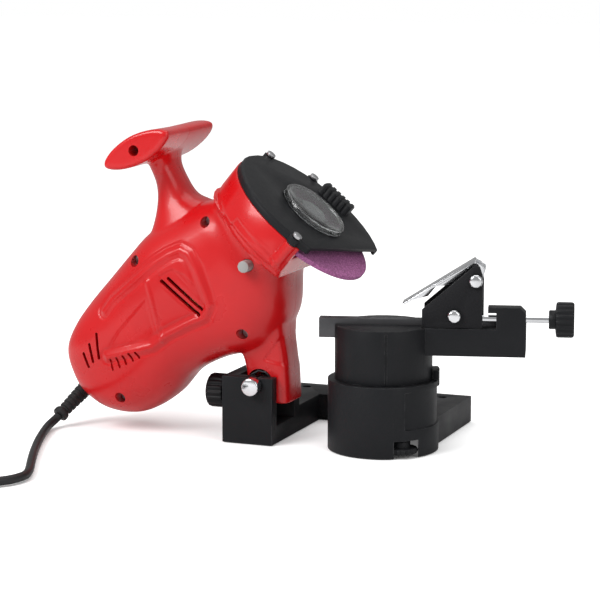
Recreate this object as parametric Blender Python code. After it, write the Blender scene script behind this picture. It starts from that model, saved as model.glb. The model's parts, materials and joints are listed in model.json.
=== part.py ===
"""Electric bench sharpener: a motor head on a hinge brings its grinding wheel down on a swivelling link vise.

Metres, +Z up. X runs along the base towards the vise arm, and Y away from the user, along the head's hinge.
The turntable's axis stands at X = Y = 0 while the model is built, and the last step centres the whole on the
floor.
"""

import math

import bmesh
import bpy
from mathutils import Matrix, Vector

# General clearances and counts
GAP = 0.0003
SPLIT_HALF_GAP = 0.00015
OVERRUN = 0.002
ROUND_STEPS = 16
WHEEL_STEPS = 38
FINE_STEPS = 32
SMALL_STEPS = 10
WELD_DISTANCE = 0.000002
FLATNESS_ANGLE = 0.05

# Hinge of the head, from the turntable's axis
HINGE_OFFSET = 0.085
HINGE_HEIGHT = 0.0415
HINGE_BOLT_RADIUS = 0.005
HINGE_HEAD_RADIUS = 0.0063
HINGE_HEAD_LENGTH = 0.0085
HINGE_NUT_RADIUS = 0.0088
HINGE_NUT_LENGTH = 0.007

# Base casting
BLOCK_LEFT = 0.109
BLOCK_RIGHT = 0.072
BLOCK_HALF_DEPTH = 0.026
BLOCK_HEIGHT = 0.0465
EAR_THICKNESS = 0.009
BLOCK_FLOOR = 0.012
FOOT_HEIGHT = 0.0185
BASE_BACK = 0.100
PLATE_FRONT = 0.066
WING_RIGHT = 0.032
WING_LEFT = 0.010
DRUM_RADIUS = 0.0381
DRUM_WALL = 0.0046
DRUM_HEIGHT = 0.0485
DRUM_TOP = 0.0065
DRUM_STEP_DEPTH = 0.0014
DRUM_STEP_START = -48
DRUM_STEP_END = 40
STOP_LUG_RISE = 0.0065
STOP_LUG_DEPTH = 0.0036
STOP_LUG_ANGLES = (8, 34)
MOUNT_HOLE_RADIUS = 0.0033
MOUNT_HOLES_X = (-0.0905, 0.014)
MOUNT_HOLES_Y = (0.050, 0.088)

# Depth stop on the block's left
DEPTH_SCREW_HEIGHT = 0.0305
DEPTH_SCREW_TIP = 0.0973
SCREW_RADIUS = 0.0029
KNOB_RADIUS = 0.012
KNOB_LENGTH = 0.0125
KNOB_HUB_RADIUS = 0.0064
KNOB_HUB_LENGTH = 0.0045
KNOB_LOBES = 8
KNOB_LOBE_STEPS = 3
KNOB_FLUTE_SHARE = 0.10
DEPTH_KNOB_INSET = 0.0025

# Turntable lock and pivot
LOCK_REACH = 0.0290
LOCK_ANGLE = -46
LOCK_KNOB_RADIUS = 0.0115
LOCK_KNOB_LENGTH = 0.0088
LOCK_KNOB_LIFT = 0.0022
LOCK_NOTCH_HEIGHT = 0.0118
PIVOT_RADIUS = 0.005
PIVOT_HEAD_RADIUS = 0.0088
PIVOT_HEAD_LENGTH = 0.006
PIVOT_GRIP = 0.013

# Vise body, in the vise's own frame
VISE_SWIVEL = 15
TURRET_RADIUS = 0.0335
TURRET_WALL = 0.004
TURRET_CAVITY_TOP = 0.065
TURRET_BOSS_RADIUS = 0.010
TURRET_MARK_WIDTH = 0.0014
TURRET_MARK_ANGLE = -83
ARM_LENGTH = 0.0966
ARM_HALF_DEPTH = 0.016
ARM_BOTTOM = 0.0673
ARM_TOP = 0.086
CHANNEL_FLOOR = 0.076
CHANNEL_FRONT = 0.0045
CHANNEL_BACK = 0.0056
SCREW_BLOCK_START = 0.0768
SCREW_BLOCK_LIP = 0.0056
SCREW_BLOCK_TOP = 0.101
SCREW_BLOCK_LIP_THICKNESS = 0.0038
SCREW_BLOCK_CHAMFER = 0.0036
SCREW_BLOCK_BACK = 0.0048

# Guide rails
RAIL_START = 0.044
RAIL_END = 0.0955
RAIL_TOP = 0.090
RAIL_THICKNESS = 0.0032
LINK_SLOT = 0.002

# Stop bracket, pawl and stop screw
BRACKET_FACE = 0.015
BRACKET_SHEET = 0.003
BRACKET_LEFT = 0.0268
BRACKET_RIGHT = 0.0674
BRACKET_LOW_CORNER = 0.0985
BRACKET_HIGH_CORNER = 0.1217
BRACKET_PEAK = 0.1294
BRACKET_PEAK_X = 0.0625
BRACKET_WEB_BOTTOM = 0.1035
BRACKET_WEB_TOP = 0.112
BRACKET_TAB_BACK = 0.0048
LOWER_BOLT_X = 0.0486
LOWER_BOLT_HEIGHT = 0.0945
PAWL_PIVOT_X = 0.0629
PAWL_PIVOT_HEIGHT = 0.1186
BRACKET_BOLT_RADIUS = 0.0026
BRACKET_BOLT_HEAD = 0.0048
BRACKET_BOLT_HEAD_LENGTH = 0.0034
PAWL_TIP_X = 0.0128
PAWL_TIP_HEIGHT = 0.101
PAWL_HEEL_X = 0.0614
PAWL_HEEL_HEIGHT = 0.1317
PAWL_THICKNESS = 0.0022
PAWL_HALF_WIDTH = 0.009
PAWL_EAR_THICKNESS = 0.0018
PAWL_EAR_DEPTH = 0.0062
PAWL_RIB_START = 0.30
PAWL_RIB_DEPTH = 0.0052
STOP_SCREW_RADIUS = 0.0024
STOP_SCREW_OFFSET = 0.010
STOP_SCREW_HEIGHT = 0.0926
STOP_SCREW_START = 0.0600
STOP_KNOB_START = ARM_LENGTH + 0.0152

# Clamp behind the arm
CLAMP_X = 0.045
CLAMP_HEIGHT = 0.0805
CLAMP_KNOB_RADIUS = 0.0095
CLAMP_KNOB_LENGTH = 0.011
CLAMP_KNOB_GAP = 0.0035

# The head's outline follows the distance from its hinge to the wheel's working edge
RIM_REACH = 0.100
SPINDLE_ANGLE = 50
WHEEL_CENTRE_SHARES = (0.256, 1.097)
SHELL_WALL = 0.0027
BARREL_EXPONENT = 2.7
BARREL_STEPS = 20
# Each rib: upper point, lower point and half width
BARREL_SHARES = (
    (-1.45, 0.10, -1.39, -0.10, 0.15),
    (-1.48, 0.20, -1.31, -0.20, 0.25),
    (-1.41, 0.35, -1.14, -0.29, 0.32),
    (-1.29, 0.51, -0.91, -0.29, 0.355),
    (-1.14, 0.68, -0.70, -0.165, 0.375),
    (-0.99, 0.85, -0.53, 0.02, 0.385),
    (-0.85, 1.00, -0.29, 0.145, 0.385),
    (-0.66, 1.12, 0.02, 0.245, 0.38),
    (-0.48, 1.215, 0.19, 0.465, 0.37),
    (-0.34, 1.265, 0.215, 0.765, 0.36),
    (-0.32, 1.35, 0.285, 0.845, 0.47),
)
NECK_EXPONENT = 2.4
NECK_STEPS = 14
NECK_SHARES = (
    (-0.93, 0.82, -0.34, 1.13, 0.26),
    (-0.845, 1.03, -0.42, 1.22, 0.21),
    (-0.81, 1.20, -0.55, 1.275, 0.165),
    (-0.815, 1.33, -0.63, 1.385, 0.145),
    (-0.86, 1.45, -0.68, 1.49, 0.155),
    (-0.91, 1.56, -0.68, 1.575, 0.20),
)
LEG_EXPONENT = 5.0
LEG_STEPS = 16
LEG_SHARES = (
    (-0.36, 0.55, 0.17, 0.60, 0.25),
    (-0.24, 0.33, 0.165, 0.36, 0.185),
    (-0.155, 0.19, 0.185, 0.20, 0.162),
    (-0.12, 0.07, 0.20, 0.08, 0.16),
    (-0.108, -0.02, 0.205, -0.02, 0.16),
    (-0.09, -0.14, 0.21, -0.14, 0.16),
)
GRIP_EXPONENT = 1.75
GRIP_STEPS = 16
GRIP_CENTRE_SHARES = (-0.82, 1.605)
GRIP_ANGLE = 27
GRIP_LENGTH = 0.080
GRIP_HALF_CHORD = 0.0275
GRIP_HALF_THICKNESS = 0.0102
# Each station: place along half the grip, and size
GRIP_STATION_SHARES = (
    (-1.0, 0.90), (-0.955, 1.0), (-0.5, 0.97), (0.0, 0.95), (0.5, 0.97), (0.955, 1.0), (1.0, 0.90),
)
SPRING_POCKET_DEPTH = 0.0095
SPRING_POCKET_RIGHT = 0.0095
SPRING_POCKET_CLEARANCE = 0.0006
SPRING_POCKET_LEFT = 0.0160

# Collar round the wheel, in the spindle's frame
COLLAR_RADIUS = 0.060
COLLAR_FRONT = -0.0043
COLLAR_BACK = -0.0150
COLLAR_CUT = 0.0205
COLLAR_SHOULDER = 0.008
RIM_WALL = 0.0025
RIM_FRONT = 0.0055

# Wheel, flanges and spindle
WHEEL_RADIUS = 0.054
WHEEL_THICKNESS = 0.0032
WHEEL_BORE = 0.0115
FLANGE_RADIUS = 0.0165
FLANGE_THICKNESS = 0.0027
SPINDLE_RADIUS = 0.006
SPINDLE_BACK = -0.0400
SPINDLE_FRONT = 0.0082
SPINDLE_NUT_RADIUS = 0.0105
SPINDLE_NUT_THICKNESS = 0.0036
LOCK_NOTCH_PLACE = -0.0364
LOCK_NOTCH_OFFSET = -0.0042
LOCK_NOTCH_RADIUS = 0.0026

# Guard and window
GUARD_RADIUS = 0.0594
GUARD_WALL = 0.0025
GUARD_BACK = RIM_FRONT + GAP
GUARD_FACE = 0.0110
GUARD_CUT = 0.036
GUARD_CUT_ANGLE = -12
GUARD_HOLE = 0.0215
GUARD_EDGE = 0.0014
GUARD_LUG_RADIUS = 0.0043
GUARD_LUG_REACH = 0.0596
GUARD_SCREW_NAMES = ("top", "front", "back")
GUARD_SCREW_ANGLES = (116, -76, 155)
GUARD_SCREW_RADIUS = 0.0014
GUARD_SCREW_HEAD = 0.0034
GUARD_SCREW_HEAD_LENGTH = 0.0022
GUARD_SCREW_LENGTH = 0.0215
GUARD_GRIP_PLACE = (-0.002, 0.0455)
GUARD_GRIP_LENGTH = 0.026
GUARD_GRIP_WIDTH = 0.008
GUARD_GRIP_HEIGHT = 0.0075
GUARD_GRIP_RIBS = 6
GUARD_GRIP_RIB_WIDTH = 0.0026
GUARD_GRIP_RIB_REACH = 0.0008
GUARD_GRIP_GROOVE = 0.0006
WINDOW_RADIUS = 0.0245
WINDOW_RIM = 0.0040
WINDOW_DOME = 0.0052
WINDOW_FLAT_RADIUS = 0.0212

# Gears, one stage between motor and spindle
GEAR_MODULE = 0.0012
GEAR_TEETH = 24
PINION_TEETH = 9
TOOTH_TIP_SHARE = 0.10
TOOTH_ROOT_SHARE = 0.27
ADDENDUM_SHARE = 0.65
DEDENDUM_SHARE = 1.25
GEAR_BACK = -0.0230
GEAR_WIDTH = 0.0065

# Bearings and their plates
FRONT_PLATE_BACK = -0.0118
FRONT_PLATE_FRONT = -0.0050
FRONT_BEARING_RADIUS = 0.013
BEARING_WIDTH = 0.005
BEARING_PLATE_BACK = -0.0340
BEARING_PLATE_FRONT = -0.0280
BEARING_PLATE_RADIUS = 0.0222
BEARING_PLATE_OFFSET = -0.010
SPINDLE_BEARING_RADIUS = 0.0095
MOTOR_BEARING_RADIUS = 0.008
RIB_WIDTH = 0.003

# Motor, in its own frame beside the spindle
MOTOR_SHAFT_RADIUS = 0.003
MOTOR_SHAFT_BACK = -0.1075
MOTOR_SHAFT_FRONT = -0.0150
FAN_BACK = -0.0466
FAN_LENGTH = 0.0055
FAN_RADIUS = 0.0230
FAN_BLADES = 8
STATOR_RADIUS = 0.027
STATOR_BORE = 0.0166
STATOR_BACK = -0.0830
STATOR_FRONT = -0.0520
COIL_LENGTH = 0.0048
COIL_OUTER = 0.0225
POLE_HALF_ANGLE = 60
SLOT_HALF_ANGLE = 33
LEG_GAP_ANGLE = 14
YOKE_INNER = 0.0135
YOKE_OUTER = 0.0165
ARMATURE_RADIUS = 0.0158
WINDING_RADIUS = 0.0132
WINDING_LENGTH = 0.0048
COMMUTATOR_RADIUS = 0.0095
COMMUTATOR_FRONT = -0.0888
COMMUTATOR_LENGTH = 0.0077
REAR_RIB_FRONT = -0.0978
REAR_RIB_WIDTH = 0.008
BRUSH_WIDTH = 0.0042
BRUSH_HEIGHT = 0.0060
BRUSH_LENGTH = 0.0100
HOLDER_WALL = 0.0009
HOLDER_START = 0.0115
HOLDER_LENGTH = 0.0145
STATOR_RIB_PLACES = (-0.0800, -0.0570)

# Shell screws: place from the hinge as shares of RIM_REACH, and the side on which their bosses start
SHELL_SCREW_NAMES = ("grip", "neck", "back", "waist", "tail")
SHELL_SCREW_SHARES = ((-0.83, 1.60), (-0.34, 1.12), (-0.88, 0.82), (-0.07, 0.36), (-1.00, -0.155))
SCREW_BOSS_RADIUS = 0.0056
SCREW_RECESS_RADIUS = 0.0038
SCREW_HEAD_RADIUS = 0.0035
SCREW_HEAD_LENGTH = 0.0026
SCREW_SHANK_RADIUS = 0.0017
SCREW_SEAT = 0.018
SCREW_DEPTH = 0.016

# Vents in both shells, as shares of RIM_REACH from the hinge
LONG_VENT_SHARES = ((-0.590, 0.725, -0.340, 0.525), (-0.640, 0.705, -0.360, 0.485))
REAR_VENT_SHARES = ((-1.16, 0.295, -1.14, 0.125), (-1.22, 0.215, -1.19, 0.095), (-1.27, 0.145, -1.23, 0.055))
VENT_WIDTH = 0.0022
VENT_INNER = 0.012

# Spindle lock button on the front shell
BUTTON_RADIUS = 0.0042
BUTTON_OUTER = 0.0425
BUTTON_COLLAR_RADIUS = 0.0056
BUTTON_COLLAR_PLACE = 0.0260
BUTTON_COLLAR_LENGTH = 0.002
BUTTON_PIN_RADIUS = 0.0022
BUTTON_PIN_END = 0.0090

# Power switch on the rear shell
SWITCH_PLACE_SHARES = (-0.99, 0.36)
SWITCH_HALF_WIDTH = 0.0066
SWITCH_HALF_HEIGHT = 0.0096
SWITCH_BODY_DEPTH = 0.020
SWITCH_BEZEL = 0.0022
SWITCH_BEZEL_THICKNESS = 0.0024
SWITCH_FACE = 0.0392
SWITCH_WALL = 0.0016
ROCKER_DEPTH = 0.0055
ROCKER_SIDE_SHARE = 0.1
ROCKER_DIP_SHARE = 0.4
ROCKER_RISE = 0.0024
ROCKER_TILT = 8
ROCKER_PIVOT_DEPTH = 0.0026

# Strain relief and cord
CORD_RADIUS = 0.0030
RELIEF_START_SHARES = (-1.384, -0.134)
RELIEF_DIRECTION = (-0.370, -0.725, -0.580)
RELIEF_LENGTH = 0.0346
RELIEF_NECK_RADIUS = 0.0060
RELIEF_NECK_LENGTH = 0.004
RELIEF_FLANGE_RADIUS = 0.0080
RELIEF_FLANGE_LENGTH = 0.003
RELIEF_TIP_RADIUS = 0.0045
RELIEF_COLLAR_RADIUS = 0.0056
RELIEF_COLLAR_LENGTH = 0.004
CORD_POINT_SPACING = 0.008
CURVE_STEPS = 16
CORD_LIFT = 0.0003
COIL_CENTRE = (-0.240, -0.24915)
COIL_MIDDLE_RADIUS = 0.0345
COIL_PITCH = 0.0066
COIL_TURNS_PER_LAYER = 3.5
COIL_POINTS = 22
COIL_ENTRY_ANGLE = 90
COIL_CLIMB_TURNS = 0.5
TAIL_LENGTH = 0.020
TAIL_SHARES = (0.35, 0.7, 1.0)
TIE_THICKNESS = 0.0012
TIE_WIDTH = 0.006
TIE_ANGLE = 225
PLUG_WIDTH = 0.026
PLUG_THICKNESS = 0.0205
PLUG_LENGTH = 0.036
BLADE_WIDTH = 0.0063
BLADE_THICKNESS = 0.0015
BLADE_LENGTH = 0.0165
BLADE_SPACING = 0.0127
BLADE_PLATE = 0.0015
PLUG_STATION_SHARES = ((0, 0.36), (0.12, 0.5), (0.42, 0.62), (0.62, 0.98), (0.95, 1.0), (1.0, 0.94))
PLUG_EXPONENT = 3.2
PLUG_STEPS = 20
BLADE_PLATE_SHARE = 0.82

# Return spring round the hinge bolt
SPRING_WIRE_RADIUS = 0.00075
SPRING_RADIUS = 0.0084
SPRING_TURNS = 3.5
SPRING_PITCH = 0.0020
SPRING_POINTS = 9
SPRING_ARM = 0.0115

HINGE = Vector((-HINGE_OFFSET, 0, HINGE_HEIGHT))
WHEEL_CENTRE = HINGE + RIM_REACH * Vector((WHEEL_CENTRE_SHARES[0], 0, WHEEL_CENTRE_SHARES[1]))
GEAR_DISTANCE = GEAR_MODULE * (GEAR_TEETH + PINION_TEETH) / 2
WORLD = Matrix.Identity(4)
HEAD = Matrix.Translation(HINGE)
SPINDLE = Matrix.Translation(WHEEL_CENTRE) @ Matrix.Rotation(math.radians(90 - SPINDLE_ANGLE), 4, "Y")
MOTOR = SPINDLE @ Matrix.Translation((-GEAR_DISTANCE, 0, 0))
VISE = Matrix.Rotation(math.radians(VISE_SWIVEL), 4, "Z")

PAINTS = {
    "gloss_red": ((0.62, 0.02, 0.015), 0.25, 0.0),
    "black_casting": ((0.018, 0.019, 0.021), 0.45, 0.0),
    "black_plastic": ((0.02, 0.02, 0.022), 0.5, 0.0),
    "textured_black": ((0.015, 0.015, 0.018), 0.7, 0.0),
    "chrome": ((0.82, 0.82, 0.84), 0.15, 1.0),
    "steel": ((0.5, 0.5, 0.52), 0.35, 1.0),
    "dark_steel": ((0.06, 0.06, 0.065), 0.4, 0.9),
    "abrasive": ((0.36, 0.12, 0.30), 0.9, 0.0),
    "clear": ((0.8, 0.82, 0.82), 0.1, 0.0),
    "copper": ((0.72, 0.33, 0.16), 0.35, 1.0),
    "brass": ((0.75, 0.58, 0.25), 0.35, 1.0),
    "carbon": ((0.03, 0.03, 0.03), 0.8, 0.0),
    "rubber": ((0.015, 0.015, 0.015), 0.75, 0.0),
    "white_plastic": ((0.75, 0.74, 0.70), 0.5, 0.0),
    "grey_plastic": ((0.45, 0.45, 0.44), 0.5, 0.0),
}


def clear_scene():
    for old in list(bpy.data.objects):
        bpy.data.objects.remove(old, do_unlink=True)


def paint(obj, name):
    colour, roughness, metallic = PAINTS[name]
    finish = bpy.data.materials.get(name) or bpy.data.materials.new(name)
    finish.use_nodes = True
    surface = finish.node_tree.nodes["Principled BSDF"]
    surface.inputs["Base Color"].default_value = (*colour, 1)
    surface.inputs["Roughness"].default_value = roughness
    surface.inputs["Metallic"].default_value = metallic
    obj.data.materials.clear()
    obj.data.materials.append(finish)
    return obj


def settle(shape, name, frame):
    """Turns a bmesh, drawn in the frame's own axes, into an object whose origin is the frame's."""
    bmesh.ops.connect_verts_nonplanar(shape, angle_limit=math.radians(FLATNESS_ANGLE), faces=shape.faces)
    bmesh.ops.recalc_face_normals(shape, faces=shape.faces)
    mesh = bpy.data.meshes.new(name)
    shape.to_mesh(mesh)
    shape.free()
    mesh.shade_smooth()
    mesh.set_sharp_from_angle(angle=math.radians(32))
    obj = bpy.data.objects.new(name, mesh)
    bpy.context.scene.collection.objects.link(obj)
    obj.matrix_world = frame
    return obj


def axis_frame(place, direction):
    """A frame at place whose Z runs along direction."""
    turn = Vector(direction).to_track_quat("Z", "Y")
    return Matrix.Translation(place) @ turn.to_matrix().to_4x4()


def skin(name, rings, frame, closed=False):
    """A body over rings of points of one count, with flat ends, or closed round on itself."""
    shape = bmesh.new()
    rows = [[shape.verts.new(point) for point in ring] for ring in rings]
    count = len(rows[0])
    pairs = list(zip(rows, rows[1:])) + ([(rows[-1], rows[0])] if closed else [])
    for low, high in pairs:
        for k in range(count):
            after = (k + 1) % count
            shape.faces.new((low[k], low[after], high[after], high[k]))
    if not closed:
        shape.faces.new(rows[0])
        shape.faces.new(rows[-1])
    return settle(shape, name, frame)


def round_shape(angle):
    return 1.0


def hex_shape(angle):
    """Radius share of a hexagon whose corners lie on the unit circle."""
    sixth = math.radians(60)
    return math.cos(sixth / 2) / math.cos(angle % sixth - sixth / 2)


def fluted_shape(angle):
    return 1 - KNOB_FLUTE_SHARE * (0.5 - 0.5 * math.cos(KNOB_LOBES * angle)) ** 2


def circle_angles(steps):
    return [2 * math.pi * k / steps for k in range(steps)]


def level_ring(radius, height, shape, steps):
    """One closed outline at a height."""
    return [
        (radius * shape(a) * math.cos(a), radius * shape(a) * math.sin(a), height)
        for a in circle_angles(steps)
    ]


def turned(name, profile, frame, steps=ROUND_STEPS):
    """Stacks (radius, height[, shape]) stations about the frame's Z into one solid body."""
    rings = []
    for radius, height, *shape in profile:
        rings.append(level_ring(radius, height, shape[0] if shape else round_shape, steps))
    return skin(name, rings, frame)


def disc(name, radius, low, high, frame, steps=ROUND_STEPS):
    return turned(name, [(radius, low), (radius, high)], frame, steps)


def lathe(name, profile, frame, steps=ROUND_STEPS):
    """Turns a closed line of (radius, height[, shape]) points, all off the axis, about the frame's Z."""
    rings = []
    for radius, height, *shape in profile:
        rings.append(level_ring(radius, height, shape[0] if shape else round_shape, steps))
    return skin(name, rings, frame, closed=True)


def ring(name, inner, outer, low, high, frame, steps=ROUND_STEPS, outline=round_shape):
    """A ring of rectangular section, whose outer edge may follow an outline."""
    profile = [(inner, low), (outer, low, outline), (outer, high, outline), (inner, high)]
    return lathe(name, profile, frame, steps)


def box(name, low, high, frame=WORLD):
    shape = bmesh.new()
    bmesh.ops.create_cube(shape, size=1)
    low, high = Vector(low), Vector(high)
    for vertex in shape.verts:
        vertex.co = Vector([(a + b) / 2 + share * (b - a) for a, b, share in zip(low, high, vertex.co)])
    return settle(shape, name, frame)


def side_plate(name, outline, front, back, frame=WORLD):
    """A plate whose (x, z) outline runs from y = front to y = back."""
    return skin(name, [[(x, y, z) for x, z in outline] for y in (front, back)], frame)


def tidy(mesh):
    """Closes the hairline faces that a Boolean can leave, and splits the bent ones."""
    shape = bmesh.new()
    shape.from_mesh(mesh)
    bmesh.ops.remove_doubles(shape, verts=shape.verts, dist=WELD_DISTANCE)
    bmesh.ops.dissolve_degenerate(shape, edges=shape.edges, dist=WELD_DISTANCE)
    bmesh.ops.connect_verts_nonplanar(shape, angle_limit=math.radians(FLATNESS_ANGLE), faces=shape.faces)
    shape.to_mesh(mesh)
    shape.free()


def drop_slivers(obj):
    """Keeps the largest body of a mesh, without the chips that a cut can leave beside it."""
    shape = bmesh.new()
    shape.from_mesh(obj.data)
    left = set(shape.verts)
    bodies = []
    while left:
        body = {left.pop()}
        front = list(body)
        while front:
            near = {edge.other_vert(vertex) for vertex in front for edge in vertex.link_edges} - body
            body |= near
            front = list(near)
        left -= body
        bodies.append(body)
    bodies.sort(key=len)
    chips = [vertex for body in bodies[:-1] for vertex in body]
    bmesh.ops.delete(shape, geom=chips, context="VERTS")
    shape.to_mesh(obj.data)
    shape.free()


def combine(target, tool, operation):
    """Joins, cuts or keeps what two bodies share, and leaves a plain mesh."""
    step = target.modifiers.new(operation.lower(), "BOOLEAN")
    step.operation = operation
    step.solver = "EXACT"
    step.object = tool
    bpy.context.view_layer.update()
    found = target.evaluated_get(bpy.context.evaluated_depsgraph_get())
    mesh = bpy.data.meshes.new_from_object(found)
    if target.get("curved"):
        tidy(mesh)
    target.modifiers.clear()
    target.data = mesh
    bpy.data.objects.remove(tool, do_unlink=True)
    return target


def cut(target, *tools):
    for tool in tools:
        combine(target, tool, "DIFFERENCE")
    return target


def join(target, *tools):
    for tool in tools:
        combine(target, tool, "UNION")
    return target


def rename(obj, name):
    obj.name = name
    obj.data.name = name
    return obj


def knob(name, frame, radius=KNOB_RADIUS, length=KNOB_LENGTH, hub=KNOB_HUB_LENGTH, bore=SCREW_RADIUS):
    """A fluted knob whose hub starts at the frame and which runs along its Z, bored through for its screw."""
    chamfer = radius * KNOB_FLUTE_SHARE
    stations = [
        (KNOB_HUB_RADIUS, 0, round_shape),
        (KNOB_HUB_RADIUS, hub, round_shape),
        (radius - chamfer, hub + GAP, fluted_shape),
        (radius, hub + chamfer, fluted_shape),
        (radius, hub + length - chamfer, fluted_shape),
        (radius - chamfer, hub + length, fluted_shape),
    ]
    body = turned(name, stations, frame, KNOB_LOBES * KNOB_LOBE_STEPS)
    if not bore:
        return body
    hole = disc("hole", bore + GAP, -OVERRUN, hub + length / 2, frame, SMALL_STEPS)
    return cut(body, hole)


def tooth_angles(teeth, phase):
    pitch = 2 * math.pi / teeth
    return [
        k * pitch + phase + share * pitch
        for k in range(teeth)
        for share in (-TOOTH_ROOT_SHARE, -TOOTH_TIP_SHARE, TOOTH_TIP_SHARE, TOOTH_ROOT_SHARE)
    ]


def gear(name, teeth, bore, low, high, frame, phase):
    """A spur gear with straight flanks, trimmed for backlash."""
    pitch_radius = GEAR_MODULE * teeth / 2
    tip = pitch_radius + GEAR_MODULE * ADDENDUM_SHARE
    root = pitch_radius - GEAR_MODULE * DEDENDUM_SHARE
    angles = tooth_angles(teeth, phase)
    radii = [root, tip, tip, root] * teeth
    rings = []
    for height, outer in ((low, False), (low, True), (high, True), (high, False)):
        rings.append([
            ((r if outer else bore) * math.cos(a), (r if outer else bore) * math.sin(a), height)
            for a, r in zip(angles, radii)
        ])
    return skin(name, rings, frame, closed=True)


def oval(centre, along, across, exponent, steps):
    """Points of a superellipse spanned by two half axes."""
    points = []
    for a in circle_angles(steps):
        c, s = math.cos(a), math.sin(a)
        points.append(
            centre
            + along * math.copysign(abs(c) ** (2 / exponent), c)
            + across * math.copysign(abs(s) ** (2 / exponent), s)
        )
    return points


def ribbed_body(name, shares, exponent, steps, inset=0.0, skip=0):
    """A body over ribs given by their upper point, lower point and half width, drawn in by an inset."""
    rings = []
    for ux, uz, lx, lz, half in shares[skip:]:
        upper = RIM_REACH * Vector((ux, 0, uz))
        lower = RIM_REACH * Vector((lx, 0, lz))
        along = (upper - lower) / 2
        along -= along.normalized() * inset
        across = Vector((0, RIM_REACH * half - inset, 0))
        rings.append(oval((upper + lower) / 2, along, across, exponent, steps))
    return skin(name, rings, HEAD)


def grip_body(name, inset=0.0):
    turn = math.radians(GRIP_ANGLE)
    long_way = Vector((math.cos(turn), 0, math.sin(turn)))
    short_way = Vector((-math.sin(turn), 0, math.cos(turn)))
    x, z = GRIP_CENTRE_SHARES
    rings = []
    for place, size in GRIP_STATION_SHARES:
        reach = GRIP_LENGTH / 2 - inset
        centre = RIM_REACH * Vector((x, 0, z)) + Vector((0, place * reach, 0))
        long_half = long_way * (GRIP_HALF_CHORD * size - 2 * inset)
        short_half = short_way * (GRIP_HALF_THICKNESS * size - inset)
        rings.append(oval(centre, long_half, short_half, GRIP_EXPONENT, GRIP_STEPS))
    return skin(name, rings, HEAD)


def collar_body(name, inset=0.0, front=COLLAR_FRONT):
    """The round housing behind the wheel, cut off where the wheel comes down."""
    radius = COLLAR_RADIUS - inset
    back = COLLAR_BACK + inset
    stations = ((radius - COLLAR_SHOULDER, back - COLLAR_SHOULDER + inset), (radius, back), (radius, front))
    body = skin(name, [level_ring(r, z, round_shape, FINE_STEPS) for r, z in stations], SPINDLE)
    wall = COLLAR_RADIUS + OVERRUN
    edge = COLLAR_CUT - inset
    return cut(body, box("cutter", (edge, -wall, -2 * COLLAR_RADIUS), (wall, wall, COLLAR_RADIUS), SPINDLE))


def collar_shell():
    """The collar with its open ring in front, round the back of the wheel."""
    inner = COLLAR_RADIUS - RIM_WALL
    room = disc("wheel_room", inner, COLLAR_FRONT, RIM_FRONT + OVERRUN, SPINDLE, FINE_STEPS)
    return cut(collar_body("collar", front=RIM_FRONT), room)


def head_point(shares, y=0.0):
    """A place in the world from shares of RIM_REACH off the hinge."""
    return HINGE + RIM_REACH * Vector((shares[0], 0, shares[1])) + Vector((0, y, 0))


def along_y(place):
    """A frame whose Z runs away from the user."""
    return axis_frame(place, (0, 1, 0))


def rib_slab(low, high, frame, bore, offset=0.0):
    """A rib across the whole barrel with a round seat."""
    reach = BLOCK_LEFT
    slab = box("slab", (-reach, -reach, low), (reach, reach, high), frame)
    seat = frame @ Matrix.Translation((offset, 0, 0))
    return cut(slab, disc("seat", bore, low - OVERRUN, high + OVERRUN, seat, FINE_STEPS))


def head_cavity():
    """The hollow of the two shells, less the ribs and bosses that stand in it."""
    hollow = ribbed_body("hollow", BARREL_SHARES, BARREL_EXPONENT, BARREL_STEPS, SHELL_WALL, 1)
    hollow["curved"] = True
    join(
        hollow,
        collar_body("collar_hollow", SHELL_WALL, COLLAR_FRONT + OVERRUN),
        ribbed_body("neck_hollow", NECK_SHARES, NECK_EXPONENT, NECK_STEPS, SHELL_WALL, 0),
    )
    cut(
        hollow,
        rib_slab(BEARING_PLATE_BACK - GAP, BEARING_PLATE_FRONT + GAP, SPINDLE,
                 BEARING_PLATE_RADIUS + GAP, BEARING_PLATE_OFFSET),
        rib_slab(REAR_RIB_FRONT - REAR_RIB_WIDTH, REAR_RIB_FRONT, MOTOR, MOTOR_BEARING_RADIUS + GAP),
    )
    for place in STATOR_RIB_PLACES:
        cut(hollow, rib_slab(place, place + RIB_WIDTH, MOTOR, STATOR_RADIUS + GAP))
    reach = COLLAR_RADIUS
    for shares in SHELL_SCREW_SHARES:
        cut(hollow, disc("boss", SCREW_BOSS_RADIUS, -reach, reach, along_y(head_point(shares)), SMALL_STEPS))
    return hollow


def vent_cutters():
    """Slots through both shells, each a thin box along its line."""
    tools = []
    for ux, uz, lx, lz in LONG_VENT_SHARES + REAR_VENT_SHARES:
        start, end = head_point((ux, uz)), head_point((lx, lz))
        way = end - start
        turn = math.atan2(-way.z, way.x)
        frame = Matrix.Translation((start + end) / 2) @ Matrix.Rotation(turn, 4, "Y")
        half = way.length / 2
        for side in (-1, 1):
            near, far = sorted((side * VENT_INNER, side * COLLAR_RADIUS))
            tools.append(box("vent", (-half, near, -VENT_WIDTH / 2), (half, far, VENT_WIDTH / 2), frame))
    return tools


def relief_frame():
    return axis_frame(head_point(RELIEF_START_SHARES), RELIEF_DIRECTION)


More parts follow.
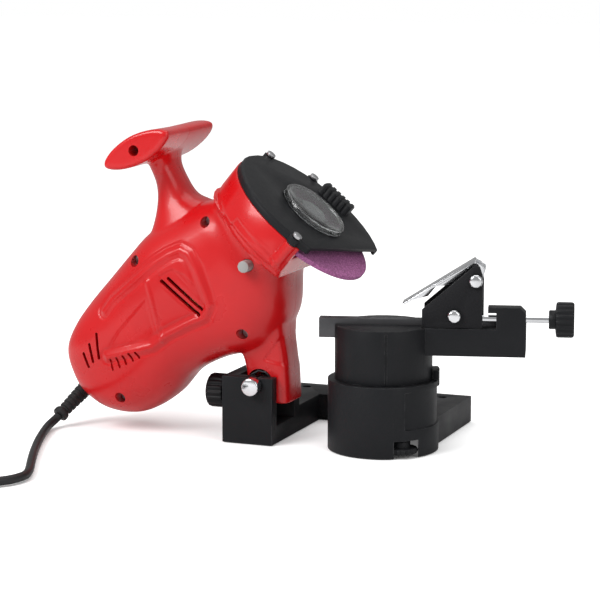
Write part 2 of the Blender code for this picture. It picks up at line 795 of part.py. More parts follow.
def head_shells():
    """Both halves of the red housing, with grip, neck, collar and leg."""
    whole = ribbed_body("whole", BARREL_SHARES, BARREL_EXPONENT, BARREL_STEPS)
    whole["curved"] = True
    join(
        whole,
        collar_shell(),
        ribbed_body("neck", NECK_SHARES, NECK_EXPONENT, NECK_STEPS),
        grip_body("grip"),
        ribbed_body("leg", LEG_SHARES, LEG_EXPONENT, LEG_STEPS),
    )
    for angle in GUARD_SCREW_ANGLES:
        lug = disc("lug", GUARD_LUG_RADIUS, COLLAR_BACK, RIM_FRONT, guard_screw_frame(angle), SMALL_STEPS)
        join(whole, lug)
    cut(whole, head_cavity(), *vent_cutters())
    reach = COLLAR_RADIUS
    hinge = along_y(HINGE)
    pocket_low = (-SPRING_POCKET_LEFT, -reach, -reach)
    pocket_back = SPRING_POCKET_DEPTH - leg_edge()
    pocket_high = (SPRING_POCKET_RIGHT, pocket_back, 0)
    pocket_radius = SPRING_RADIUS + SPRING_WIRE_RADIUS + SPRING_POCKET_CLEARANCE
    relief = relief_frame()
    cut(
        whole,
        disc("bolt_hole", HINGE_BOLT_RADIUS + GAP, -reach, reach, hinge),
        box("pocket", pocket_low, pocket_high, HEAD),
        disc("spring_room", pocket_radius, -reach, pocket_back, hinge),
        disc("relief_hole", RELIEF_NECK_RADIUS + GAP, -RELIEF_NECK_LENGTH - GAP, RELIEF_LENGTH, relief),
        disc("flange_room", RELIEF_FLANGE_RADIUS + GAP, -RELIEF_NECK_LENGTH - RELIEF_FLANGE_LENGTH - GAP,
             -RELIEF_NECK_LENGTH, relief),
    )
    for shares in SHELL_SCREW_SHARES:
        frame = along_y(head_point(shares))
        cut(
            whole,
            disc("recess", SCREW_RECESS_RADIUS, -reach, -SCREW_SEAT, frame, SMALL_STEPS),
            disc("shank", SCREW_SHANK_RADIUS + GAP, -SCREW_SEAT - OVERRUN, SCREW_DEPTH + OVERRUN, frame,
                 SMALL_STEPS),
        )
    for angle in GUARD_SCREW_ANGLES:
        cut(whole, disc("screw_hole", GUARD_SCREW_RADIUS + GAP, GUARD_FACE - GUARD_SCREW_LENGTH - OVERRUN,
                        GUARD_FACE, guard_screw_frame(angle), SMALL_STEPS))
    button = button_frame()
    x, z = SWITCH_PLACE_SHARES
    switch = Matrix.Translation(head_point((x, z)))
    cut(
        whole,
        disc("button_hole", BUTTON_RADIUS + GAP, -reach, -BUTTON_COLLAR_PLACE, button, SMALL_STEPS),
        disc("button_room", BUTTON_COLLAR_RADIUS + GAP, -BUTTON_COLLAR_PLACE - BUTTON_COLLAR_LENGTH - GAP, 0,
             button, SMALL_STEPS),
        box("switch_hole",
            (-SWITCH_HALF_WIDTH - GAP, SWITCH_FACE - SWITCH_BODY_DEPTH, -SWITCH_HALF_HEIGHT - GAP),
            (SWITCH_HALF_WIDTH + GAP, reach, SWITCH_HALF_HEIGHT + GAP), switch),
        box("bezel_room",
            (-SWITCH_HALF_WIDTH - SWITCH_BEZEL - GAP, SWITCH_FACE - SWITCH_BEZEL_THICKNESS - GAP,
             -SWITCH_HALF_HEIGHT - SWITCH_BEZEL - GAP),
            (SWITCH_HALF_WIDTH + SWITCH_BEZEL + GAP, reach, SWITCH_HALF_HEIGHT + SWITCH_BEZEL + GAP), switch),
    )
    twin = whole.copy()
    twin.data = whole.data.copy()
    bpy.context.scene.collection.objects.link(twin)
    far = 4 * RIM_REACH
    front = cut(whole, box("half", (-far, -SPLIT_HALF_GAP, -far), (far, far, far), WORLD))
    back = cut(twin, box("half", (-far, -far, -far), (far, SPLIT_HALF_GAP, far), WORLD))
    for shell, name in ((front, "head_shell_front"), (back, "head_shell_rear")):
        drop_slivers(shell)
        paint(rename(shell, name), "gloss_red")


def guard_screw_frame(angle):
    place = Vector((math.cos(math.radians(angle)), math.sin(math.radians(angle)), 0)) * GUARD_LUG_REACH
    return SPINDLE @ Matrix.Translation(place)


def button_frame():
    return along_y((SPINDLE @ Matrix.Translation((LOCK_NOTCH_OFFSET, 0, LOCK_NOTCH_PLACE))).translation)


def shell_screws():
    for name, shares in zip(SHELL_SCREW_NAMES, SHELL_SCREW_SHARES):
        screw = turned("shell_screw_" + name, [
            (SCREW_HEAD_RADIUS, -SCREW_SEAT - GAP - SCREW_HEAD_LENGTH),
            (SCREW_HEAD_RADIUS, -SCREW_SEAT - GAP),
            (SCREW_SHANK_RADIUS, -SCREW_SEAT),
            (SCREW_SHANK_RADIUS, SCREW_DEPTH),
        ], along_y(head_point(shares)), SMALL_STEPS)
        paint(screw, "steel")


def guard():
    """The black cover over the wheel, open where the wheel meets the work, with its window and screws."""
    inner = GUARD_RADIUS - GUARD_WALL
    under = GUARD_FACE - GUARD_WALL
    cover = lathe("guard_cover", [
        (inner, GUARD_BACK),
        (GUARD_RADIUS, GUARD_BACK),
        (GUARD_RADIUS, GUARD_FACE - GUARD_EDGE),
        (GUARD_RADIUS - GUARD_EDGE, GUARD_FACE),
        (GUARD_HOLE, GUARD_FACE),
        (GUARD_HOLE, under),
        (inner, under),
    ], SPINDLE, WHEEL_STEPS)
    reach = GUARD_RADIUS + 2 * GUARD_LUG_RADIUS
    chord = SPINDLE @ Matrix.Rotation(math.radians(GUARD_CUT_ANGLE), 4, "Z")
    cut(cover, box("chord", (GUARD_CUT, -reach, -reach), (reach, reach, reach), chord))
    for angle in GUARD_SCREW_ANGLES:
        frame = guard_screw_frame(angle)
        join(cover, disc("lug", GUARD_LUG_RADIUS, GUARD_BACK + GAP, GUARD_FACE - GAP, frame, SMALL_STEPS))
        cut(cover, disc("hole", GUARD_SCREW_RADIUS + GAP, -reach, reach, frame, SMALL_STEPS))
    x, y = GUARD_GRIP_PLACE
    half = GUARD_GRIP_LENGTH / 2
    low = GUARD_FACE - GUARD_WALL / 2
    top = GUARD_FACE + GUARD_GRIP_HEIGHT
    join(cover, box("bar", (x - half, y - GUARD_GRIP_WIDTH / 2, low),
                    (x + half, y + GUARD_GRIP_WIDTH / 2, top - GUARD_GRIP_GROOVE), SPINDLE))
    pitch = GUARD_GRIP_LENGTH / GUARD_GRIP_RIBS
    wide = GUARD_GRIP_WIDTH / 2 + GUARD_GRIP_RIB_REACH
    for k in range(GUARD_GRIP_RIBS):
        start = x - half + k * pitch + (pitch - GUARD_GRIP_RIB_WIDTH) / 2
        end = start + GUARD_GRIP_RIB_WIDTH
        join(cover, box("rib", (start, y - wide, low), (end, y + wide, top), SPINDLE))
    paint(cover, "black_plastic")
    top = GUARD_FACE + GAP
    plug = GUARD_HOLE - GAP
    window = turned("guard_window", [
        (plug, GUARD_FACE - GUARD_WALL / 2),
        (plug, top),
        (WINDOW_RADIUS, top),
        (WINDOW_RADIUS, top + WINDOW_RIM),
        (WINDOW_FLAT_RADIUS, top + WINDOW_DOME),
    ], SPINDLE, ROUND_STEPS)
    paint(window, "clear")
    seat = GUARD_FACE + GAP
    for name, angle in zip(GUARD_SCREW_NAMES, GUARD_SCREW_ANGLES):
        screw = turned("guard_screw_" + name, [
            (GUARD_SCREW_RADIUS, seat - GUARD_SCREW_LENGTH),
            (GUARD_SCREW_RADIUS, seat - GAP / 2),
            (GUARD_SCREW_HEAD, seat),
            (GUARD_SCREW_HEAD, seat + GUARD_SCREW_HEAD_LENGTH),
        ], guard_screw_frame(angle), SMALL_STEPS)
        paint(screw, "steel")


def spindle_group():
    """The spindle with its fixed flange, and the wheel, outer flange, nut and gear that turn with it."""
    half = WHEEL_THICKNESS / 2
    inner = -half - GAP
    shaft = turned("spindle", [
        (SPINDLE_RADIUS, SPINDLE_BACK),
        (SPINDLE_RADIUS, inner - FLANGE_THICKNESS),
        (FLANGE_RADIUS, inner - FLANGE_THICKNESS + GAP),
        (FLANGE_RADIUS, inner),
        (WHEEL_BORE, inner + GAP / 2),
        (WHEEL_BORE, half - GAP),
        (SPINDLE_RADIUS, half - GAP / 2),
        (SPINDLE_RADIUS, SPINDLE_FRONT),
    ], SPINDLE)
    reach = 2 * SPINDLE_RADIUS
    cut(shaft, disc("lock_notch", LOCK_NOTCH_RADIUS, -reach, reach, button_frame(), SMALL_STEPS))
    paint(shaft, "steel")
    wheel = ring("grinding_wheel", WHEEL_BORE + GAP, WHEEL_RADIUS, -half, half, SPINDLE, WHEEL_STEPS)
    paint(wheel, "abrasive")
    bore = SPINDLE_RADIUS + GAP
    start = half + GAP
    paint(ring("wheel_flange", bore, FLANGE_RADIUS, start, start + FLANGE_THICKNESS, SPINDLE), "steel")
    start += FLANGE_THICKNESS + GAP
    nut = ring("spindle_nut", bore, SPINDLE_NUT_RADIUS, start, start + SPINDLE_NUT_THICKNESS, SPINDLE,
               outline=hex_shape)
    paint(nut, "steel")
    driven = gear("driven_gear", GEAR_TEETH, bore, GEAR_BACK, GEAR_BACK + GEAR_WIDTH, SPINDLE, 0.0)
    paint(driven, "white_plastic")


def bearing(name, bore, radius, low, frame):
    return ring(name, bore + GAP, radius, low, low + BEARING_WIDTH, frame)


def gear_case():
    """The plate that closes the collar, the plate behind the gears, and the bearings in both."""
    outer = COLLAR_RADIUS - SHELL_WALL - GAP
    seat = FRONT_BEARING_RADIUS + GAP
    plate = ring("front_plate", seat, outer, FRONT_PLATE_BACK, FRONT_PLATE_FRONT, SPINDLE, FINE_STEPS)
    edge = COLLAR_CUT - SHELL_WALL - GAP
    far = outer + OVERRUN
    cut(plate, box("chord", (edge, -far, -outer), (far, far, outer), SPINDLE))
    paint(plate, "dark_steel")
    middle = SPINDLE @ Matrix.Translation((BEARING_PLATE_OFFSET, 0, 0))
    low, high = BEARING_PLATE_BACK, BEARING_PLATE_FRONT
    back = disc("bearing_plate", BEARING_PLATE_RADIUS, low, high, middle, FINE_STEPS)
    low, high = low - OVERRUN, high + OVERRUN
    cut(
        back,
        disc("spindle_seat", SPINDLE_BEARING_RADIUS + GAP, low, high, SPINDLE),
        disc("motor_seat", MOTOR_BEARING_RADIUS + GAP, low, high, MOTOR),
    )
    paint(back, "dark_steel")
    middle = (FRONT_PLATE_BACK + FRONT_PLATE_FRONT - BEARING_WIDTH) / 2
    rear = (BEARING_PLATE_BACK + BEARING_PLATE_FRONT - BEARING_WIDTH) / 2
    tail = REAR_RIB_FRONT - (REAR_RIB_WIDTH + BEARING_WIDTH) / 2
    for name, bore, radius, low, frame in (
        ("spindle_bearing_front", SPINDLE_RADIUS, FRONT_BEARING_RADIUS, middle, SPINDLE),
        ("spindle_bearing_rear", SPINDLE_RADIUS, SPINDLE_BEARING_RADIUS, rear, SPINDLE),
        ("motor_bearing_front", MOTOR_SHAFT_RADIUS, MOTOR_BEARING_RADIUS, rear, MOTOR),
        ("motor_bearing_rear", MOTOR_SHAFT_RADIUS, MOTOR_BEARING_RADIUS, tail, MOTOR),
    ):
        paint(bearing(name, bore, radius, low, frame), "steel")


def armature():
    """The motor's turning parts."""
    low, high = MOTOR_SHAFT_BACK, MOTOR_SHAFT_FRONT
    shaft = disc("armature_shaft", MOTOR_SHAFT_RADIUS, low, high, MOTOR, SMALL_STEPS)
    paint(shaft, "steel")
    bore = MOTOR_SHAFT_RADIUS + GAP
    pinion = gear("drive_pinion", PINION_TEETH, bore, GEAR_BACK, GEAR_BACK + GEAR_WIDTH, MOTOR,
                  math.pi / PINION_TEETH)
    paint(pinion, "steel")
    core = turned("armature_core", [
        (COMMUTATOR_RADIUS, COMMUTATOR_FRONT - COMMUTATOR_LENGTH),
        (COMMUTATOR_RADIUS, COMMUTATOR_FRONT),
        (WINDING_RADIUS, STATOR_BACK - WINDING_LENGTH),
        (WINDING_RADIUS, STATOR_BACK),
        (ARMATURE_RADIUS, STATOR_BACK + GAP),
        (ARMATURE_RADIUS, STATOR_FRONT - GAP),
        (WINDING_RADIUS, STATOR_FRONT),
        (WINDING_RADIUS, STATOR_FRONT + WINDING_LENGTH),
    ], MOTOR)
    cut(core, disc("bore", bore, MOTOR_SHAFT_BACK, MOTOR_SHAFT_FRONT, MOTOR, SMALL_STEPS))
    paint(core, "copper")
    blades = []
    radii = []
    pitch = 2 * math.pi / FAN_BLADES
    for k in range(FAN_BLADES):
        for share, radius in ((-0.16, 0.42), (-0.06, 1.0), (0.06, 1.0), (0.16, 0.42)):
            blades.append((k + share) * pitch)
            radii.append(radius * FAN_RADIUS)
    rings = []
    for height, outer in ((0, False), (0, True), (FAN_LENGTH, True), (FAN_LENGTH, False)):
        rings.append([
            ((r if outer else bore) * math.cos(a), (r if outer else bore) * math.sin(a), FAN_BACK + height)
            for a, r in zip(blades, radii)
        ])
    paint(skin("cooling_fan", rings, MOTOR, closed=True), "white_plastic")


def sector(name, inner, outer, low, high, middle, half, frame):
    """A block bent round the frame's Z."""
    rings = []
    steps = 8
    for k in range(steps + 1):
        a = math.radians(middle - half + 2 * half * k / steps)
        rings.append([(r * math.cos(a), r * math.sin(a), z)
                      for r, z in ((inner, low), (outer, low), (outer, high), (inner, high))])
    return skin(name, rings, frame)


def stator():
    """Slotted core, the field winding that loops through its slots, and the brushes in their yoke."""
    core = ring("stator_core", STATOR_BORE, STATOR_RADIUS, STATOR_BACK, STATOR_FRONT, MOTOR, FINE_STEPS)
    slot = COIL_OUTER + GAP
    low, high = STATOR_BACK - OVERRUN, STATOR_FRONT + OVERRUN
    for middle in (90, 270):
        cut(core, sector("slot", STATOR_BORE - OVERRUN, slot, low, high, middle, SLOT_HALF_ANGLE, MOTOR))
    paint(core, "dark_steel")
    start = STATOR_BACK - GAP - COIL_LENGTH
    end = STATOR_FRONT + GAP + COIL_LENGTH
    inner = STATOR_BORE + GAP
    coils = ring("field_winding", inner, COIL_OUTER, start, end, MOTOR, FINE_STEPS)
    near, far = inner - OVERRUN, COIL_OUTER + OVERRUN
    low, high = STATOR_BACK - GAP, STATOR_FRONT + GAP
    windows = ((0, POLE_HALF_ANGLE), (180, POLE_HALF_ANGLE), (90, LEG_GAP_ANGLE), (270, LEG_GAP_ANGLE))
    for middle, half in windows:
        cut(coils, sector("window", near, far, low, high, middle, half, MOTOR))
    paint(coils, "copper")
    middle = COMMUTATOR_FRONT - COMMUTATOR_LENGTH / 2
    half_width = BRUSH_WIDTH / 2 + GAP + HOLDER_WALL
    half_height = BRUSH_HEIGHT / 2 + GAP + HOLDER_WALL
    reach = HOLDER_START + HOLDER_LENGTH
    low, high = middle - half_height, middle + half_height
    yoke = ring("brush_yoke", YOKE_INNER, YOKE_OUTER, low, low + 2 * HOLDER_WALL, MOTOR, ROUND_STEPS)
    for name, sign in (("front", -1), ("rear", 1)):
        near, far = sorted((sign * HOLDER_START, sign * reach))
        join(yoke, box("holder", (-half_width, near, low + GAP / 2), (half_width, far, high), MOTOR))
    for name, sign in (("front", -1), ("rear", 1)):
        near, far = sorted((sign * (HOLDER_START - OVERRUN), sign * (reach + OVERRUN)))
        wide, high = BRUSH_WIDTH / 2 + GAP, BRUSH_HEIGHT / 2 + GAP
        cut(yoke, box("bore", (-wide, near, middle - high), (wide, far, middle + high), MOTOR))
        start = COMMUTATOR_RADIUS + GAP
        near, far = sorted((sign * start, sign * (start + BRUSH_LENGTH)))
        brush = box("carbon_brush_" + name, (-BRUSH_WIDTH / 2, near, middle - BRUSH_HEIGHT / 2),
                    (BRUSH_WIDTH / 2, far, middle + BRUSH_HEIGHT / 2), MOTOR)
        paint(brush, "carbon")
    paint(yoke, "brass")


def lock_button():
    frame = button_frame()
    body = turned("spindle_lock_button", [
        (BUTTON_RADIUS, -BUTTON_OUTER),
        (BUTTON_RADIUS, -BUTTON_COLLAR_PLACE - BUTTON_COLLAR_LENGTH),
        (BUTTON_COLLAR_RADIUS, -BUTTON_COLLAR_PLACE - BUTTON_COLLAR_LENGTH + GAP),
        (BUTTON_COLLAR_RADIUS, -BUTTON_COLLAR_PLACE),
        (BUTTON_PIN_RADIUS, -BUTTON_COLLAR_PLACE + GAP),
        (BUTTON_PIN_RADIUS, -BUTTON_PIN_END),
    ], frame, SMALL_STEPS)
    paint(body, "grey_plastic")


def power_switch():
    x, z = SWITCH_PLACE_SHARES
    place = head_point((x, z))
    frame = Matrix.Translation(place)
    inner = SWITCH_FACE - SWITCH_BODY_DEPTH + GAP
    body = box("switch_body", (-SWITCH_HALF_WIDTH, inner, -SWITCH_HALF_HEIGHT),
               (SWITCH_HALF_WIDTH, SWITCH_FACE - GAP, SWITCH_HALF_HEIGHT), frame)
    join(body, box("bezel", (-SWITCH_HALF_WIDTH - SWITCH_BEZEL, SWITCH_FACE - SWITCH_BEZEL_THICKNESS,
                             -SWITCH_HALF_HEIGHT - SWITCH_BEZEL),
                   (SWITCH_HALF_WIDTH + SWITCH_BEZEL, SWITCH_FACE, SWITCH_HALF_HEIGHT + SWITCH_BEZEL), frame))
    half_width = SWITCH_HALF_WIDTH - SWITCH_WALL
    half_height = SWITCH_HALF_HEIGHT - SWITCH_WALL
    cut(body, box("well", (-half_width, SWITCH_FACE - ROCKER_DEPTH - OVERRUN, -half_height),
                  (half_width, SWITCH_FACE + OVERRUN, half_height), frame))
    paint(body, "black_plastic")
    pivot = Matrix.Translation(place + Vector((0, SWITCH_FACE - ROCKER_PIVOT_DEPTH, 0)))
    tilt = pivot @ Matrix.Rotation(math.radians(ROCKER_TILT), 4, "X")
    reach = half_height - GAP * 3
    depth = ROCKER_DEPTH - ROCKER_PIVOT_DEPTH
    low = -depth * ROCKER_SIDE_SHARE
    rise = ROCKER_PIVOT_DEPTH + ROCKER_RISE
    dip = ROCKER_PIVOT_DEPTH + ROCKER_RISE * ROCKER_DIP_SHARE
    outline = [(-reach, low), (-reach, rise), (0, dip), (reach, rise), (reach, low), (0, -depth)]
    wide = half_width - GAP
    rocker = skin("switch_rocker", [[(x_, y, z_) for z_, y in outline] for x_ in (-wide, wide)], tilt)
    paint(rocker, "gloss_red")

def strain_relief():
    neck, collar = -RELIEF_NECK_LENGTH, RELIEF_LENGTH - RELIEF_COLLAR_LENGTH
    body = turned("strain_relief", [
        (RELIEF_FLANGE_RADIUS, neck - RELIEF_FLANGE_LENGTH),
        (RELIEF_FLANGE_RADIUS, neck - GAP),
        (RELIEF_NECK_RADIUS, neck),
        (RELIEF_TIP_RADIUS, collar - GAP),
        (RELIEF_COLLAR_RADIUS, collar),
        (RELIEF_COLLAR_RADIUS, RELIEF_LENGTH),
    ], relief_frame())
    paint(body, "rubber")


def hinge_parts():
    """Bolt, nut and return spring of the head's hinge."""
    frame = along_y(HINGE)
    front = BLOCK_HALF_DEPTH + GAP
    head = turned("hinge_bolt", [
        (HINGE_HEAD_RADIUS * 0.9, -front - HINGE_HEAD_LENGTH),
        (HINGE_HEAD_RADIUS, -front - HINGE_HEAD_LENGTH * 0.9),
        (HINGE_HEAD_RADIUS, -front),
        (HINGE_BOLT_RADIUS, -front + GAP / 2),
        (HINGE_BOLT_RADIUS, front + HINGE_NUT_LENGTH + OVERRUN),
    ], frame)
    paint(head, "chrome")
    nut = ring("hinge_nut", HINGE_BOLT_RADIUS + GAP, HINGE_NUT_RADIUS, front, front + HINGE_NUT_LENGTH, frame,
               outline=hex_shape)
    paint(nut, "steel")
    return_spring()


def swept_tube(name, points, radius, resolution, frame=WORLD):
    """A tube along points, as a curve with filled ends."""
    data = bpy.data.curves.new(name, "CURVE")
    data.dimensions = "3D"
    data.bevel_depth = radius
    data.bevel_resolution = resolution
    data.use_fill_caps = True
    line = data.splines.new("POLY")
    line.points.add(len(points) - 1)
    for knot, point in zip(line.points, points):
        knot.co = (*point, 1)
    obj = bpy.data.objects.new(name, data)
    bpy.context.scene.collection.objects.link(obj)
    obj.matrix_world = frame
    return obj


def return_spring():
    """A torsion spring: one end stands on the block's floor, the other bears on the head's leg."""
    points = []
    start = -leg_edge() + SPRING_WIRE_RADIUS + GAP * 2
    height = BLOCK_FLOOR + GAP - HINGE_HEIGHT
    points.append(Vector((-SPRING_RADIUS, start, height)))
    points.append(Vector((-SPRING_RADIUS, start, height + SPRING_ARM)))
    steps = int(SPRING_TURNS * SPRING_POINTS)
    for k in range(steps + 1):
        turn = 2 * math.pi * k / SPRING_POINTS
        y = start + SPRING_PITCH * k / SPRING_POINTS
        points.append(Vector((-SPRING_RADIUS * math.cos(turn), y, SPRING_RADIUS * math.sin(turn))))
    last = points[-1]
    points.append(Vector((last.x, last.y, -SPRING_ARM)))
    spring = swept_tube("return_spring", points, SPRING_WIRE_RADIUS, 1, HEAD)
    paint(spring, "dark_steel")
    print("return spring: least gap to itself", round(SPRING_PITCH - 2 * SPRING_WIRE_RADIUS, 5), "m")


def leg_edge():
    return LEG_SHARES[-1][-1] * RIM_REACH


def base_casting():
    """Hinge block, drum and C-shaped foot in one casting."""
    left, right, half = -BLOCK_LEFT, -BLOCK_RIGHT, BLOCK_HALF_DEPTH
    body = box("base_casting", (left, -half, 0), (right, half, BLOCK_HEIGHT))
    inner = half - EAR_THICKNESS
    well_low = (left + EAR_THICKNESS, -inner, BLOCK_FLOOR)
    cut(body, box("well", well_low, (right + OVERRUN, inner, BLOCK_HEIGHT * 2)))
    overlap = EAR_THICKNESS / 2
    outline = [
        (left, half - overlap), (right, half - overlap), (right, PLATE_FRONT), (-WING_LEFT, PLATE_FRONT),
        (-WING_LEFT, 0), (WING_RIGHT, 0), (WING_RIGHT, BASE_BACK), (left, BASE_BACK),
    ]
    foot = skin("foot", [[(x, y, z) for x, y in outline] for z in (0, FOOT_HEIGHT)], WORLD)
    join(body, foot)
    join(body, disc("drum", DRUM_RADIUS, 0, DRUM_HEIGHT, WORLD, FINE_STEPS + ROUND_STEPS))
    middle = sum(STOP_LUG_ANGLES) / 2
    span = (STOP_LUG_ANGLES[1] - STOP_LUG_ANGLES[0]) / 2
    join(body, sector("lug", DRUM_RADIUS - STOP_LUG_DEPTH, DRUM_RADIUS + GAP, DRUM_HEIGHT - OVERRUN * 2,
                      DRUM_HEIGHT + STOP_LUG_RISE, middle, span, WORLD))
    middle = (DRUM_STEP_START + DRUM_STEP_END) / 2
    span = (DRUM_STEP_END - DRUM_STEP_START) / 2
    cut(body, sector("step", DRUM_RADIUS - DRUM_STEP_DEPTH, DRUM_RADIUS + OVERRUN, FOOT_HEIGHT + GAP,
                     DRUM_HEIGHT - OVERRUN * 2, middle, span, WORLD))
    cut(body, disc("cavity", DRUM_RADIUS - DRUM_WALL, -OVERRUN, DRUM_HEIGHT - DRUM_TOP, WORLD, FINE_STEPS))
    lock = lock_frame()
    depth_reach = BLOCK_LEFT - DEPTH_SCREW_TIP + OVERRUN
    cut(
        body,
        disc("notch", LOCK_KNOB_RADIUS + GAP * 2, -OVERRUN, LOCK_NOTCH_HEIGHT, lock),
        disc("lock_hole", SCREW_RADIUS + GAP, DRUM_HEIGHT / 2, DRUM_HEIGHT + OVERRUN, lock, SMALL_STEPS),
        disc("pivot_hole", PIVOT_RADIUS + GAP, DRUM_HEIGHT / 2, DRUM_HEIGHT + OVERRUN, WORLD),
        disc("hinge_hole", HINGE_BOLT_RADIUS + GAP, -half - OVERRUN, half + OVERRUN, along_y(HINGE)),
        disc("depth_hole", SCREW_RADIUS + GAP, -OVERRUN, depth_reach, depth_frame(), SMALL_STEPS),
    )
    for x in MOUNT_HOLES_X:
        for y in MOUNT_HOLES_Y:
            cut(body, disc("mount_hole", MOUNT_HOLE_RADIUS, -OVERRUN, FOOT_HEIGHT + OVERRUN,
                           Matrix.Translation((x, y, 0)), SMALL_STEPS))
    paint(body, "black_casting")


def lock_frame():
    turn = math.radians(LOCK_ANGLE)
    return Matrix.Translation((LOCK_REACH * math.cos(turn), LOCK_REACH * math.sin(turn), 0))


def depth_frame():
    """The depth stop's axis, pointing away from the block."""
    return axis_frame((-DEPTH_SCREW_TIP, 0, DEPTH_SCREW_HEIGHT), (-1, 0, 0))


def depth_stop():
    frame = depth_frame()
    hub = BLOCK_LEFT - DEPTH_SCREW_TIP + DEPTH_KNOB_INSET
    end = hub + KNOB_HUB_LENGTH + KNOB_LENGTH / 2 - GAP
    paint(disc("depth_screw", SCREW_RADIUS, 0, end, frame, SMALL_STEPS), "steel")
    start = frame @ Matrix.Translation((0, 0, hub))
    paint(knob("depth_knob", start), "black_plastic")


def turntable_lock():
    frame = lock_frame()
    low = LOCK_KNOB_LIFT
    top = DRUM_HEIGHT
    flip = frame @ Matrix.Translation((0, 0, low + LOCK_KNOB_LENGTH)) @ Matrix.Rotation(math.pi, 4, "X")
    paint(knob("lock_knob", flip, LOCK_KNOB_RADIUS, LOCK_KNOB_LENGTH - OVERRUN, OVERRUN), "black_plastic")
    paint(disc("lock_screw", SCREW_RADIUS, low + LOCK_KNOB_LENGTH / 2, top, frame, SMALL_STEPS), "steel")
    plate = DRUM_HEIGHT - DRUM_TOP
    head_top = plate - GAP
    pivot = turned("pivot_bolt", [
        (PIVOT_HEAD_RADIUS, head_top - PIVOT_HEAD_LENGTH, hex_shape),
        (PIVOT_HEAD_RADIUS, head_top, hex_shape),
        (PIVOT_RADIUS, head_top + GAP / 2),
        (PIVOT_RADIUS, DRUM_HEIGHT + PIVOT_GRIP),
    ], WORLD)
    paint(pivot, "steel")


def vise_body():
    """Turret, arm and screw block in one casting, turned on the base."""
    low = DRUM_HEIGHT + GAP
    body = disc("vise_body", TURRET_RADIUS, low, ARM_TOP, VISE, FINE_STEPS)
    join(body, box("arm", (0, -ARM_HALF_DEPTH, ARM_BOTTOM), (ARM_LENGTH, ARM_HALF_DEPTH, ARM_TOP), VISE))
    start, end, top = SCREW_BLOCK_START, ARM_LENGTH, SCREW_BLOCK_TOP
    lip = top - SCREW_BLOCK_LIP_THICKNESS
    outline = [
        (start, ARM_TOP - OVERRUN), (end, ARM_TOP - OVERRUN), (end, top - SCREW_BLOCK_CHAMFER),
        (end - SCREW_BLOCK_CHAMFER, top), (start - SCREW_BLOCK_LIP, top), (start - SCREW_BLOCK_LIP, lip),
        (start, lip),
    ]
    join(body, side_plate("block", outline, -ARM_HALF_DEPTH, -SCREW_BLOCK_BACK, VISE))
    cut(body, box("channel", (-2 * TURRET_RADIUS, -CHANNEL_FRONT, CHANNEL_FLOOR),
                  (ARM_LENGTH + OVERRUN, CHANNEL_BACK, RAIL_TOP), VISE))
    wall = TURRET_RADIUS - TURRET_WALL
    hollow = ring("hollow", TURRET_BOSS_RADIUS, wall, low - OVERRUN, TURRET_CAVITY_TOP, VISE, FINE_STEPS)
    mark = VISE @ Matrix.Rotation(math.radians(TURRET_MARK_ANGLE), 4, "Z")
    cut(
        body,
        hollow,
        disc("pivot_bore", PIVOT_RADIUS + GAP, low - OVERRUN, DRUM_HEIGHT + PIVOT_GRIP + GAP, VISE),
        disc("clamp_bore", SCREW_RADIUS + GAP, 0, 2 * ARM_HALF_DEPTH, clamp_frame(), SMALL_STEPS),
        disc("stop_bore", STOP_SCREW_RADIUS + GAP, 0, STOP_KNOB_START, stop_frame(), SMALL_STEPS),
        box("mark", (TURRET_RADIUS - TURRET_MARK_WIDTH / 2, -TURRET_MARK_WIDTH / 2, low - OVERRUN),
            (TURRET_RADIUS + OVERRUN, TURRET_MARK_WIDTH / 2, ARM_TOP - OVERRUN), mark),
    )
    paint(body, "black_casting")


def guide_rails():
    near = LINK_SLOT / 2
    for name, front, back in (
        ("guide_rail_front", -near - RAIL_THICKNESS, -near),
        ("guide_rail_rear", near, near + RAIL_THICKNESS),
    ):
        rail = box(name, (-RAIL_START, front, CHANNEL_FLOOR + GAP), (RAIL_END, back, RAIL_TOP), VISE)
        paint(rail, "dark_steel")


def clamp_frame():
    way = VISE.to_3x3() @ Vector((0, 1, 0))
    return axis_frame(VISE @ Vector((CLAMP_X, LINK_SLOT / 2 + RAIL_THICKNESS + GAP, CLAMP_HEIGHT)), way)


def clamp():
    """The knob and screw, in one piece, that press the rear rail on the links."""
    frame = clamp_frame()
    hub = ARM_HALF_DEPTH + CLAMP_KNOB_GAP - (LINK_SLOT / 2 + RAIL_THICKNESS + GAP)
    start = frame @ Matrix.Translation((0, 0, hub))
    body = knob("clamp_knob", start, CLAMP_KNOB_RADIUS, CLAMP_KNOB_LENGTH, bore=0)
    join(body, disc("screw", SCREW_RADIUS, 0, hub + KNOB_HUB_LENGTH, frame, SMALL_STEPS))
    paint(body, "black_plastic")


def stop_frame():
    way = VISE.to_3x3() @ Vector((1, 0, 0))
    return axis_frame(VISE @ Vector((0, -STOP_SCREW_OFFSET, STOP_SCREW_HEIGHT)), way)


def bracket_outline():
    base = ARM_TOP + GAP
    return [
        (BRACKET_LEFT, base), (BRACKET_RIGHT, base), (BRACKET_RIGHT, BRACKET_HIGH_CORNER),
        (BRACKET_PEAK_X + BRACKET_SHEET, BRACKET_PEAK - BRACKET_SHEET / 2), (BRACKET_PEAK_X, BRACKET_PEAK),
        (BRACKET_LEFT, BRACKET_LOW_CORNER),
    ]


def vise_y_frame(x, z):
    """A frame in the vise whose Z runs away from the user, across the arm."""
    return axis_frame(VISE @ Vector((x, 0, z)), VISE.to_3x3() @ Vector((0, 1, 0)))


